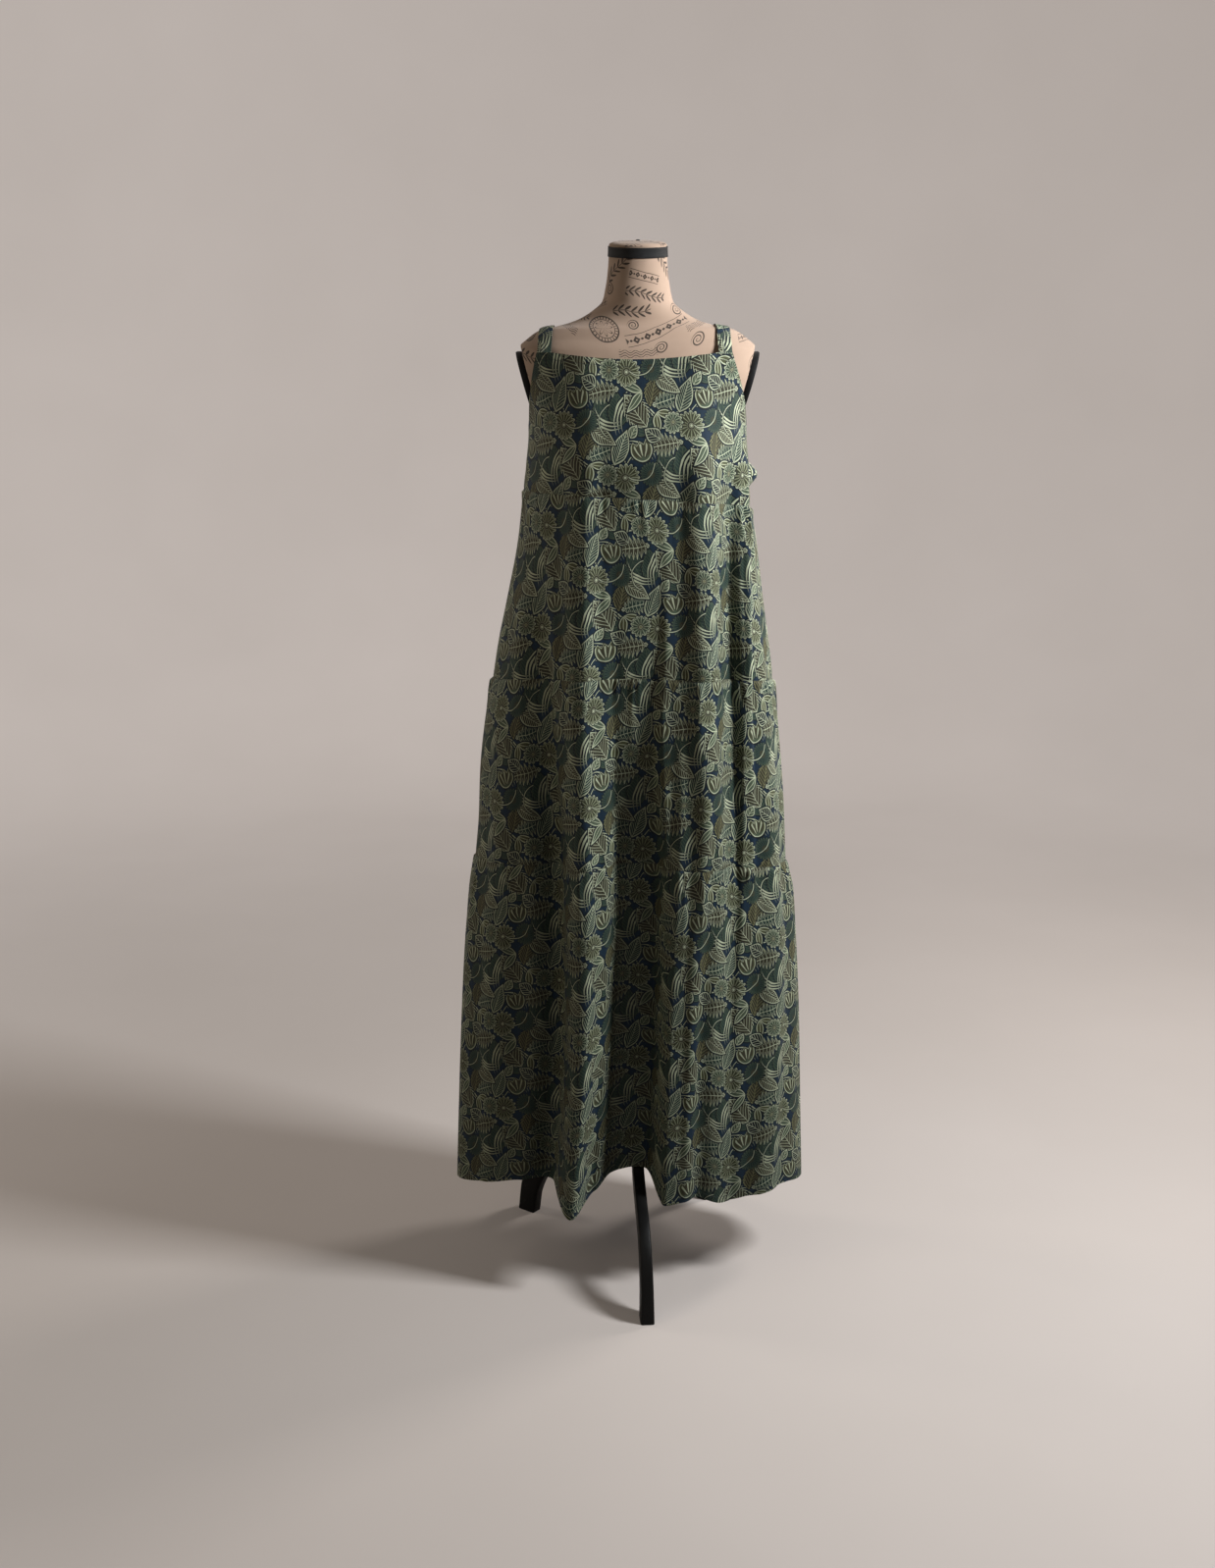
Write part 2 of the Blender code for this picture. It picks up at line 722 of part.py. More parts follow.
def form_side_profile(across):
    """Points of the form's shoulder in the upright plane that far to the side of the axis."""
    points = []
    for height in np.linspace(1.45, 1.56, 111):
        side, front, back, square = section(FORM_SECTIONS, height, "side", "front", "back", "square")
        if side > abs(across):
            deep = (1 - (abs(across) / side) ** square) ** (1 / square)
            for y in (-front * deep, back * deep):
                off = math.hypot(y, height - SHOULDER_CORE)
                stretch = 1 + STRAP_CLEARANCE / off
                points.append((y * stretch, SHOULDER_CORE + (height - SHOULDER_CORE) * stretch))
    return points


def strap_rail(width_share, front_edges, back_edges):
    """Inner line of a strap at one place in its width: taut from the front edge over the shoulder."""
    ends = []
    for panel, edges in ((0, front_edges), (1, back_edges)):
        share = np.array([edges[0] + (edges[1] - edges[0]) * width_share])
        _, inner = cloth_wall(panel + share, bodice_top(panel, share) + GAP)
        ends.append(inner[0])
    across = (ends[0][0] + ends[1][0]) / 2
    over = [p for p in form_side_profile(across) if ends[0][1] < p[0] < ends[1][1]]
    hull = upper_hull(over + [tuple(ends[0][1:]), tuple(ends[1][1:])])
    run = np.concatenate([[0], np.cumsum(np.hypot(*np.diff(hull, axis=0).T))])
    steps = np.linspace(0, run[-1], STRAP_STEPS + 1)
    y = np.interp(steps, run, hull[:, 0])
    z = np.interp(steps, run, hull[:, 1])
    x = ends[0][0] + (ends[1][0] - ends[0][0]) * steps / run[-1]
    return np.stack([x, y, z], axis=-1)


def strap(name, side, material):
    """A flat strap from the front edge over the shoulder to the back edge. Side is -1 or 1."""
    front, back = strap_shares(0), strap_shares(1)
    front = front[:2] if side < 0 else front[2:]
    back = back[:1:-1] if side < 0 else back[1::-1]
    inner = np.array([strap_rail(share, front, back) for share in (0.0, 0.5, 1.0)])
    along = np.gradient(inner, axis=1)
    sideways = np.gradient(inner, axis=0)
    out = np.cross(sideways, along)
    out *= np.sign((out[..., 2:3]).sum())
    out /= np.linalg.norm(out, axis=-1, keepdims=True)
    out[:, 0] = (0, -1, 0)
    out[:, -1] = (0, 1, 0)
    return add_object(name, wall_mesh(inner + out * WALL, inner), material)


# Form and stand


def form_ring(height, sides=ROUND_SIDES):
    side, front, back, square, lean = section(
        FORM_SECTIONS, height, "side", "front", "back", "square", "lean"
    )
    turn = np.linspace(0, 2 * math.pi, sides, endpoint=False)
    x, y = super_ring(turn, side, side, front, back, square)
    return np.stack([x, y, height + lean * y], axis=-1)


def arm_plate_x(height):
    """Distance from the axis of the flat that carries an arm plate."""
    return ARM_PLATE_TOP[0] + (height - ARM_PLATE_TOP[1]) * ARM_PLATE_LEAN


def arm_cutter(side):
    """A leaning block whose inner face is the flat for an arm plate."""
    low, high = ARM_PLATE_HEIGHTS[0] - 0.006, ARM_PLATE_TOP[1] + 0.04
    points = []
    for height in (low, high):
        for x in (arm_plate_x(height), 0.30):
            for y in (-0.20, 0.20):
                points.append((side * x, y, height))
    faces = [[0, 1, 3, 2], [4, 5, 7, 6], [0, 1, 5, 4], [2, 3, 7, 6], [0, 2, 6, 4], [1, 3, 7, 5]]
    cutter = add_object(f"arm_cutter_{'left' if side < 0 else 'right'}", (points, faces), None)
    cutter.hide_render = True
    cutter.display_type = "WIRE"
    return cutter


def form_torso(material):
    heights = FORM_SECTIONS["height"]
    between = (heights[1:] + heights[:-1]) / 2
    shoulder = between[(between > SHOULDER_CORE) & (between < NECK_FOOT)]
    rings = [form_ring(z) for z in np.sort(np.concatenate([heights, shoulder]))]
    torso = add_object("form_torso", loft_mesh(rings), material)
    for side in (-1, 1):
        cut = torso.modifiers.new("arm_flat", "BOOLEAN")
        cut.operation = "DIFFERENCE"
        cut.object = arm_cutter(side)
    return torso


def arm_plate(name, side, material):
    """An oval plate on the form's leaning flat, 0.3 mm off it."""
    low, high = ARM_PLATE_HEIGHTS
    turn = np.linspace(0, 2 * math.pi, ROUND_SIDES, endpoint=False)
    height = (low + high) / 2 + (high - low) / 2 * np.sin(turn)
    y = ARM_PLATE_DEPTH / 2 * np.cos(turn) * (1 + 0.12 * np.sin(turn))
    rings = []
    for out in (GAP, GAP + ARM_PLATE_THICKNESS):
        x = side * (arm_plate_x(height) + out)
        rings.append(np.stack([x, y, height], axis=-1))
    return add_object(name, loft_mesh(rings), material)


def neck_band(material):
    """A flat band round the top of the neck."""
    walls = []
    turn = np.linspace(0, 2 * math.pi, ROUND_SIDES, endpoint=False)
    for out in (GAP, GAP + NECK_BAND_THICKNESS):
        rings = []
        for height in NECK_BAND:
            side, front, back, lean = section(FORM_SECTIONS, height, "side", "front", "back", "lean")
            x, y = super_ring(turn, side + out, side + out, front + out, back + out, 2)
            rings.append(np.stack([x, y, height + lean * y], axis=-1))
        walls.append(rings)
    points = np.array(walls).reshape(-1, 3)
    faces = []
    low_in, high_in, low_out, high_out = (k * ROUND_SIDES for k in range(4))
    loop = (low_in, high_in, high_out, low_out, low_in)
    for first, second in zip(loop[:-1], loop[1:], strict=True):
        for k in range(ROUND_SIDES):
            after = (k + 1) % ROUND_SIDES
            faces.append([first + k, first + after, second + after, second + k])
    return add_object("neck_band", (points, faces), material)


def neck_cap(material):
    """The covered cap on the neck, a low dome."""
    base = FORM_SECTIONS["height"][-1] + GAP
    side, front, back, lean = section(FORM_SECTIONS, base, "side", "front", "back", "lean")
    turn = np.linspace(0, 2 * math.pi, ROUND_SIDES, endpoint=False)
    rings = []
    for climb in (0.0, 0.4, 0.72, 0.9):
        share = math.cos(climb * math.pi / 2) ** 0.5
        x, y = super_ring(turn, side * share, side * share, front * share, back * share, 2)
        top = base + NECK_CAP_RISE * math.sin(climb * math.pi / 2)
        rings.append(np.stack([x, y, top + lean * y], axis=-1))
    return add_object("neck_cap", loft_mesh(rings), material)


def leg(name, turn, material):
    """A curved board from the hub down to a flat foot."""
    rows = np.arange(len(LEG_EDGES["upper_out"]))
    steps = np.linspace(0, rows[-1], 2 * rows[-1] + 1)
    edges = {column: smooth_curve(steps, rows, LEG_EDGES[column]) for column in LEG_EDGES}
    rings = []
    for k, step in enumerate(steps):
        flare = (step / rows[-1]) ** 4
        half = (LEG_THICKNESS + (FOOT_THICKNESS - LEG_THICKNESS) * flare) / 2
        upper = (-edges["upper_out"][k], edges["upper_height"][k])
        lower = (-edges["lower_out"][k], edges["lower_height"][k])
        rings.append([(-half, *upper), (half, *upper), (half, *lower), (-half, *lower)])
    piece = add_object(name, loft_mesh(rings), material)
    piece.rotation_euler.z = math.radians(turn)
    return piece


def stand(material):
    base = FORM_SECTIONS["height"][0] - GAP
    low, high = HUB_SPAN
    pole = [(POLE_RADIUS, high + GAP), (POLE_RADIUS, base)]
    add_object("pole", loft_mesh(circle_rings(pole, 24)), material)
    hub = [(0.018, low), (HUB_RADIUS, low + 0.006), (HUB_RADIUS, high - 0.010), (0.016, high)]
    add_object("hub", loft_mesh(circle_rings(hub)), material)
    for name, turn in LEG_TURNS.items():
        leg(name, turn, material)


def place_on_origin():
    """Hangs all pieces on an empty that sets the origin under the middle of the whole object."""
    bpy.context.view_layer.update()
    pieces = [p for p in bpy.context.scene.objects if p.type == "MESH"]
    built = [p for p in pieces if not p.hide_render]
    corners = np.array([(p.matrix_world @ v.co)[:] for p in built for v in p.data.vertices])
    low, high = corners.min(axis=0), corners.max(axis=0)
    holder = bpy.data.objects.new("dress_and_form", None)
    bpy.context.scene.collection.objects.link(holder)
    holder.location = (-(low[0] + high[0]) / 2, -(low[1] + high[1]) / 2, -low[2])
    for piece in pieces:
        piece.parent = holder


def main():
    for existing in list(bpy.data.objects):
        bpy.data.objects.remove(existing)
    dress_cloth = make_material("dress_cloth", (0.035, 0.045, 0.040), 0.85)
    form_cover = make_material("form_cover", (0.42, 0.32, 0.25), 0.90)
    black_tape = make_material("black_tape", (0.012, 0.012, 0.013), 0.75)
    black_paint = make_material("black_paint", (0.010, 0.010, 0.010), 0.45)
    for panel in (0, 1):
        bodice_panel(panel, dress_cloth)
        for tier in (1, 2, 3):
            tier_panel(tier, panel, dress_cloth)
    strap("strap_left", -1, dress_cloth)
    strap("strap_right", 1, dress_cloth)
    form_torso(form_cover)
    arm_plate("arm_plate_left", -1, black_tape)
    arm_plate("arm_plate_right", 1, black_tape)
    neck_band(black_tape)
    neck_cap(form_cover)
    stand(black_paint)
    place_on_origin()


main()
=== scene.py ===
"""Tiered maxi dress on a limbless dress form: fine cloth, materials, stage, lights and camera.

Metres, +Z up, the front faces -Y. Left and right are as seen from the front, so left is -X. The
tables and functions measure from the stand's pole, and finished pieces are moved by its place.
"""

import math

import bmesh
import bpy
import numpy as np
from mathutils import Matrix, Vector


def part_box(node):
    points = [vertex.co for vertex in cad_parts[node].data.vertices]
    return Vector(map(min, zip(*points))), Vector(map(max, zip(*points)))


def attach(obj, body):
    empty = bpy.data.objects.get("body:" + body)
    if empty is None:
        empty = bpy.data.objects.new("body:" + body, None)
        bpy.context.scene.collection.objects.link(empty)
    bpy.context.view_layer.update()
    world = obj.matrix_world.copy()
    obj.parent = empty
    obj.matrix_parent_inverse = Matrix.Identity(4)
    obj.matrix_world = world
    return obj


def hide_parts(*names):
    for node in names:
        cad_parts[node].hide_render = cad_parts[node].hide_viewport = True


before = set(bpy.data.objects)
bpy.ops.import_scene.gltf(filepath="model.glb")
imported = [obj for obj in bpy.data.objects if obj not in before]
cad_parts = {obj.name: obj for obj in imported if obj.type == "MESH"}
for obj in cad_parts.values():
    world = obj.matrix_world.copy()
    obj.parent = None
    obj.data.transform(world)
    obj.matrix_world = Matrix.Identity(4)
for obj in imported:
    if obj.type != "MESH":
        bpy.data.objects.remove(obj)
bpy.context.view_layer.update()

POLE_LOW, POLE_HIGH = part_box("pole")
AXIS = np.array([(POLE_LOW[0] + POLE_HIGH[0]) / 2, (POLE_LOW[1] + POLE_HIGH[1]) / 2, 0.0])

# Any piece: the angle from which an edge stays sharp, and how close points are to be welded
SHARP_DEGREES = 50
WELD_DISTANCE = 0.00001

# Cloth
WALL = 0.0009
TIER_COLUMNS = 300
ROW_STEP = 0.006
CLOSE_ROWS = (0.0015, 0.003, 0.0045)
BODICE_ROWS = 44
BODICE_ROW_POWER = 1.15
ARMHOLE_COLUMNS = 26
STRAP_COLUMNS = 8
NECKLINE_COLUMNS = 120

# Straps
STRAP_STEPS = 60
STRAP_WALL = 0.0011
STRAP_LIFT = 0.0012
STRAP_CROWN = 0.0004
STRAP_TUCK = 0.004
STRAP_BEHIND = 0.0006
STRAP_CLEARANCE = 0.0014
STRAP_SMOOTHINGS = 6
SHOULDER_CORE = 1.46
SHOULDER_HEIGHTS = np.linspace(1.45, 1.56, 221)

# Seams, and the strip beside them in which creases die away
SEAM_DIP = 0.0006
SEAM_DIP_WIDTH = 0.004
SEAM_TUG = 0.0005
SEAM_TUG_PITCH = 0.009
SEAM_TUG_REACH = 0.012
TIER_TUG_SEED = 83
BODICE_TUG_SEED = 23
CALM_STRIP = 0.015
SIDE_SEAM_STRIP = 0.006

# Where each piece is cut from the print: steps between tiers, between front and back, and straps
TIER_CUT_STEP = 0.31
TIER_PANEL_CUT_STEP = 0.17
BODICE_CUT = (0.04, 1.30)
BODICE_PANEL_CUT_STEP = 0.37
STRAP_CUT_STEP = 0.21

# A distance that stands for no seam or free edge nearby
FAR = 1.0
SIDE_NAMES = ("front", "back")

# Shallow creases: rise, width, length, lean and the seed of their noise, which repeats after a
# number of its units
NOISE_UNITS = 64
CREASES = {
    "tier_broad": (0.0012, 0.030, 0.24, 0.0, 31),
    "tier_fine": (0.0005, 0.013, 0.08, 0.0, 61),
    "bodice_broad": (0.0009, 0.055, 0.075, 0.0, 11),
    "bodice_fine": (0.0004, 0.020, 0.030, 20.0, 17),
}

# Gathers
GATHER_SEED = 7
GATHER_START = 0.004
GATHER_SPACING = (0.0065, 0.0165)
GATHER_HEIGHT = 0.0034
GATHER_HEIGHT_SPREAD = (0.25, 1.25)
GATHER_BACK_SHARE = 1.6
GATHER_FRONT_SHARE = {"left": 0.55, "more_at_right": 0.85, "grows_from": 0.60, "grows_over": 0.25}
GATHER_LENGTH = 0.038
GATHER_LENGTH_LIMITS = (0.014, 0.15)
GATHER_LEAN = 0.10
GATHER_RISE = 0.008
GATHER_AT_SEAM = 0.05
GATHER_WIDTH = {"at_seam": 0.50, "more_below": 0.55}

# Top edges of the bodice, and where the straps stand on them: distance to the right of the axis
UNDERARM_HEIGHT = 1.395
TOP_HEIGHTS = (1.511, 1.462)
NECKLINE_DIPS = (0.010, 0.004)
STRAP_PLACES = (
    {"left": (-0.152, -0.131), "right": (0.120, 0.141)},
    {"left": (-0.146, -0.124), "right": (0.114, 0.136)},
)

# Form
FORM_SIDES = 192
FORM_TORSO_HIGH = 1.40
FORM_ROWS = 90
FORM_NECK_LOW = 1.404
FORM_NECK_ROWS = 130
FORM_UNDER_RISE = 0.0006
FORM_UNDER_SHARE = 0.86
FORM_ARM_LOW = 1.406
FORM_ARM_ABOVE = 0.04
COVER_TOP = 0.80
ARM_PLATE_LEAN = 0.276
ARM_PLATE_TOP = (0.1765, 1.5128)
ARM_PLATE_THICKNESS = 0.0105
ARM_PLATE_HEIGHTS = (1.412, 1.512)
ARM_PLATE_DEPTH = 0.092
ARM_PLATE_WIDER_ABOVE = 0.12
NECK_SIDES = 96
NECK_BAND = (1.6525, 1.6675)
NECK_BAND_THICKNESS = 0.0016
NECK_BAND_SHARES = {"sunk": 0.86, "bevel": 0.8, "full": 1.0}
NECK_BAND_GAP = 0.0002
NECK_BAND_BEVEL = 0.0006
NECK_BAND_EDGE = 0.0022
NECK_CAP_RISE = 0.006
NECK_CAP_CLIMBS = (0.0, *np.linspace(0.05, 0.98, 22))
NECK_CAP_ROUNDING = 0.5
NECK_CAP_COVER = np.array([0.55, 0.4])
STUD_PROFILE = ((0.0036, -0.001), (0.0036, 0.0006), (0.0030, 0.0013), (0.0016, 0.0017))
HAIR_GAP = 0.0003

# Stand
LEG_THICKNESS = 0.019
FOOT_THICKNESS = 0.023
LEG_SIDES = 32
LEG_SQUARE = 7.0
LEG_RINGS_PER_ROW = 10
LEG_FLARE_POWER = 4
LEG_TURNS = {"leg_front": 4.2, "leg_left": -127.3, "leg_back": 145.0}


def table(names, *rows):
    """A table as one array for each named column."""
    return dict(zip(names.split(), np.array(rows, dtype=float).T, strict=True))


# Plain ring of the dress at each height: reach to the left, right, front and back of the axis
DRESS_SECTIONS = table(
    "height  left   right  front  back   square",
    (0.100, 0.306, 0.288, 0.118, 0.168, 2.0),
    (0.150, 0.304, 0.287, 0.120, 0.168, 2.0),
    (0.225, 0.301, 0.284, 0.124, 0.167, 2.0),
    (0.400, 0.293, 0.277, 0.132, 0.164, 2.0),
    (0.575, 0.282, 0.266, 0.139, 0.160, 2.0),
    (0.650, 0.274, 0.258, 0.141, 0.157, 2.0),
    (0.711, 0.263, 0.246, 0.141, 0.153, 2.0),
    (0.780, 0.256, 0.242, 0.143, 0.153, 2.0),
    (0.850, 0.253, 0.236, 0.145, 0.151, 2.0),
    (0.940, 0.243, 0.227, 0.146, 0.146, 2.0),
    (1.006, 0.230, 0.218, 0.144, 0.137, 2.0),
    (1.070, 0.219, 0.209, 0.144, 0.132, 2.1),
    (1.130, 0.206, 0.200, 0.143, 0.126, 2.1),
    (1.225, 0.187, 0.187, 0.141, 0.116, 2.2),
    (1.290, 0.179, 0.175, 0.138, 0.107, 2.3),
    (1.346, 0.172, 0.172, 0.141, 0.104, 2.4),
    (1.395, 0.168, 0.168, 0.133, 0.105, 2.5),
    (1.450, 0.176, 0.176, 0.117, 0.107, 2.5),
    (1.510, 0.192, 0.192, 0.098, 0.104, 2.5),
    (1.540, 0.200, 0.200, 0.090, 0.100, 2.5),
)

# Seams between tiers: height at the left and right side, and how much higher the middle sits
SEAMS = {
    "seam_1": {"left": 1.305, "right": 1.277, "front_rise": 0.008, "back_rise": 0.004},
    "seam_2": {"left": 1.006, "right": 1.004, "front_rise": 0.022, "back_rise": 0.010},
    "seam_3": {"left": 0.711, "right": 0.703, "front_rise": 0.020, "back_rise": 0.008},
}

# Hem: height along the front and the back, by distance to the right of the axis
HEM_FRONT = table(
    "across height",
    (-0.305, 0.142), (-0.250, 0.160), (-0.180, 0.175), (-0.130, 0.166), (-0.100, 0.136),
    (-0.070, 0.165), (-0.030, 0.190), (0.000, 0.195), (0.022, 0.190), (0.045, 0.150),
    (0.090, 0.157), (0.150, 0.140), (0.200, 0.146), (0.250, 0.152), (0.290, 0.142),
)
HEM_BACK = table(
    "across height",
    (-0.305, 0.142), (-0.200, 0.150), (-0.120, 0.140), (-0.040, 0.158), (0.030, 0.150),
    (0.090, 0.170), (0.160, 0.150), (0.290, 0.142),
)

# Large folds. A row gives half the width of a fold's crest or floor and the widths of its two
# sides. Then come its places to the right of the axis at the heights of STATIONS, and its heights
# off the ring there, ridges above 0 and valleys below.
STATIONS = np.array([0.15, 0.45, 0.71, 0.95, 1.10, 1.28, 1.40])
FOLD_COLUMNS = ("panel", "name", "flat", "slope_left", "slope_right", "places", "heights")
FOLD_ROWS = (
    ("front", "left_bust_ridge", 0.003, 0.042, 0.028,
     (-0.100, -0.082, -0.079, -0.084, -0.083, -0.081, -0.078),
     (0.052, 0.031, 0.025, 0.019, 0.016, 0.010, 0.004)),
    ("front", "left_valley", 0.003, 0.040, 0.026,
     (-0.152, -0.130, -0.134, -0.145, -0.150, -0.150, -0.150),
     (-0.026, -0.023, -0.028, -0.018, -0.008, 0.000, 0.000)),
    ("front", "left_side_ridge", 0.004, 0.040, 0.040,
     (-0.235, -0.228, -0.215, -0.205, -0.190, -0.180, -0.170),
     (0.006, 0.007, 0.005, 0.002, 0.000, 0.000, 0.000)),
    ("front", "middle_valley", 0.030, 0.024, 0.016,
     (-0.014, -0.002, 0.002, -0.006, 0.000, 0.000, 0.000),
     (-0.034, -0.036, -0.032, -0.014, -0.005, 0.000, 0.000)),
    ("front", "middle_ridge", 0.008, 0.020, 0.050,
     (0.056, 0.064, 0.075, 0.080, 0.080, 0.080, 0.080),
     (0.022, 0.015, 0.010, 0.004, 0.000, 0.000, 0.000)),
    ("front", "inner_right_ridge", 0.002, 0.016, 0.014,
     (0.084, 0.089, 0.099, 0.110, 0.115, 0.115, 0.115),
     (0.006, 0.007, 0.006, 0.001, 0.000, 0.000, 0.000)),
    ("front", "right_bust_ridge", 0.003, 0.034, 0.036,
     (0.127, 0.128, 0.118, 0.102, 0.098, 0.095, 0.090),
     (0.010, 0.009, 0.010, 0.015, 0.017, 0.015, 0.005)),
    ("front", "right_valley", 0.001, 0.040, 0.013,
     (0.158, 0.152, 0.160, 0.158, 0.151, 0.147, 0.146),
     (-0.002, -0.005, -0.010, -0.017, -0.018, -0.010, 0.000)),
    ("front", "right_side_ridge", 0.004, 0.034, 0.034,
     (0.215, 0.222, 0.215, 0.200, 0.178, 0.166, 0.160),
     (0.010, 0.010, 0.008, 0.004, 0.005, 0.004, 0.000)),
    ("front", "right_thin_ridge", 0.001, 0.009, 0.007,
     (0.200, 0.195, 0.186, 0.176, 0.168, 0.163, 0.160),
     (0.000, 0.000, 0.002, 0.004, 0.006, 0.005, 0.000)),
    ("back", "back_right_valley", 0.008, 0.036, 0.036,
     (0.222, 0.215, 0.200, 0.188, 0.175, 0.165, 0.160),
     (-0.016, -0.014, -0.010, -0.005, 0.000, 0.000, 0.000)),
    ("back", "back_right_ridge", 0.004, 0.030, 0.028,
     (0.150, 0.146, 0.140, 0.130, 0.122, 0.115, 0.110),
     (0.027, 0.023, 0.019, 0.016, 0.012, 0.006, 0.000)),
    ("back", "back_inner_valley", 0.012, 0.030, 0.028,
     (0.072, 0.074, 0.072, 0.070, 0.068, 0.065, 0.060),
     (-0.021, -0.023, -0.020, -0.012, -0.003, 0.000, 0.000)),
    ("back", "back_middle_ridge", 0.004, 0.028, 0.028,
     (-0.002, 0.004, 0.006, 0.004, 0.002, 0.000, 0.000),
     (0.025, 0.021, 0.017, 0.014, 0.009, 0.003, 0.000)),
    ("back", "back_left_valley", 0.014, 0.026, 0.032,
     (-0.082, -0.078, -0.074, -0.070, -0.066, -0.060, -0.060),
     (-0.032, -0.029, -0.024, -0.014, -0.005, 0.000, 0.000)),
    ("back", "back_left_ridge", 0.004, 0.030, 0.028,
     (-0.165, -0.158, -0.148, -0.138, -0.128, -0.115, -0.110),
     (0.028, 0.023, 0.019, 0.015, 0.011, 0.006, 0.000)),
    ("back", "back_left_side_valley", 0.008, 0.034, 0.034,
     (-0.240, -0.230, -0.218, -0.205, -0.190, -0.175, -0.170),
     (-0.014, -0.012, -0.009, -0.004, 0.000, 0.000, 0.000)),
)
FOLDS = [dict(zip(FOLD_COLUMNS, row, strict=True)) for row in FOLD_ROWS]

# One local pucker of the back bodice, just behind the right side seam
PUCKER = {"height": 1.326, "behind_seam": 0.016, "rise": 0.017, "reach": 0.026, "span": 0.027}

# Dress form without its arm plates: reach to each side, front and back, and its rings' lean
FORM_SECTIONS = table(
    "height  side    front  back   square  lean",
    (0.8600, 0.1500, 0.082, 0.108, 2.2, 0.0),
    (0.8680, 0.1550, 0.087, 0.114, 2.2, 0.0),
    (0.9300, 0.1580, 0.094, 0.120, 2.2, 0.0),
    (1.0200, 0.1430, 0.098, 0.108, 2.2, 0.0),
    (1.1300, 0.1180, 0.092, 0.085, 2.2, 0.0),
    (1.2300, 0.1300, 0.108, 0.082, 2.2, 0.0),
    (1.3000, 0.1380, 0.122, 0.086, 2.3, 0.0),
    (1.3450, 0.1420, 0.127, 0.089, 2.3, 0.0),
    (1.4000, 0.1460, 0.120, 0.093, 2.3, 0.0),
    (1.4250, 0.1580, 0.114, 0.095, 2.3, 0.0),
    (1.4500, 0.1740, 0.107, 0.096, 2.3, 0.0),
    (1.4850, 0.1870, 0.097, 0.093, 2.3, 0.0),
    (1.5130, 0.1860, 0.086, 0.086, 2.2, 0.0),
    (1.5320, 0.1680, 0.073, 0.078, 2.1, 0.0),
    (1.5463, 0.1445, 0.064, 0.071, 2.0, 0.0),
    (1.5506, 0.1210, 0.060, 0.068, 2.0, 0.0),
    (1.5600, 0.0910, 0.055, 0.062, 2.0, 0.0),
    (1.5730, 0.0690, 0.053, 0.058, 2.0, 0.0),
    (1.5870, 0.0540, 0.052, 0.055, 2.0, 0.02),
    (1.6050, 0.0495, 0.049, 0.051, 2.0, 0.05),
    (1.6230, 0.0466, 0.046, 0.048, 2.0, 0.09),
    (1.6450, 0.0447, 0.044, 0.046, 2.0, 0.12),
    (1.6690, 0.0438, 0.0435, 0.045, 2.0, 0.12),
)

# Upper and lower edge of a leg's board, by distance out from the axis, from its root to its foot
LEG_EDGES = table(
    "upper_out upper_height lower_out lower_height",
    (0.0223, 0.288, 0.0223, 0.238),
    (0.046, 0.240, 0.038, 0.198),
    (0.088, 0.185, 0.076, 0.154),
    (0.138, 0.160, 0.128, 0.127),
    (0.190, 0.136, 0.175, 0.101),
    (0.229, 0.096, 0.198, 0.070),
    (0.248, 0.050, 0.212, 0.036),
    (0.254, 0.000, 0.218, 0.000),
)

# Levels at which the rings are measured, the steps round each panel there, and the finer steps
# that these are picked from
SHARES = 256
DENSE = 1024
LEVELS = np.linspace(0.10, 1.54, 145)
SMALL_STEP = 0.002


# Curves and rings


def smooth_curve(at, knots, values):
    """Values on a smooth curve through the knots that doesn't overshoot them."""
    knots = np.asarray(knots, dtype=float)
    values = np.asarray(values, dtype=float)
    step = np.diff(knots)
    rise = np.diff(values) / step
    slope = np.zeros(len(knots))
    slope[0] = rise[0]
    slope[-1] = rise[-1]
    for k in range(1, len(knots) - 1):
        if rise[k - 1] * rise[k] > 0:
            slope[k] = 2 * rise[k - 1] * rise[k] / (rise[k - 1] + rise[k])
    at = np.clip(at, knots[0], knots[-1])
    k = np.clip(np.searchsorted(knots, at, side="right") - 1, 0, len(step) - 1)
    t = (at - knots[k]) / step[k]
    return (
        values[k] * (1 + 2 * t) * (1 - t) ** 2
        + slope[k] * step[k] * t * (1 - t) ** 2
        + values[k + 1] * t**2 * (3 - 2 * t)
        + slope[k + 1] * step[k] * t**2 * (t - 1)
    )


def section(sections, height, names):
    """Named measures of a table of sections at a height."""
    return [smooth_curve(height, sections["height"], sections[name]) for name in names.split()]


def super_ring(turn, left, right, front, back, square):
    """Points of a squared oval. Turn 0 is its left end, and half a circle runs along its front."""
    across = np.cos(turn)
    forward = np.sin(turn)
    power = 2 / square
    x = -np.sign(across) * np.abs(across) ** power * np.where(across > 0, left, right)
    y = -np.sign(forward) * np.abs(forward) ** power * np.where(forward > 0, front, back)
    return x, y


def full_turn(sides):
    """Even turns round a closed ring."""
    return np.linspace(0, 2 * math.pi, sides, endpoint=False)


def step_lengths(points, axis=0):
    """Distances between neighbours along one axis of a line or grid of points."""
    return np.linalg.norm(np.diff(points, axis=axis), axis=-1)


def running_length(points):
    """Distance of each point of a line from its first one, along the line."""
    return np.concatenate([[0], np.cumsum(step_lengths(points))])


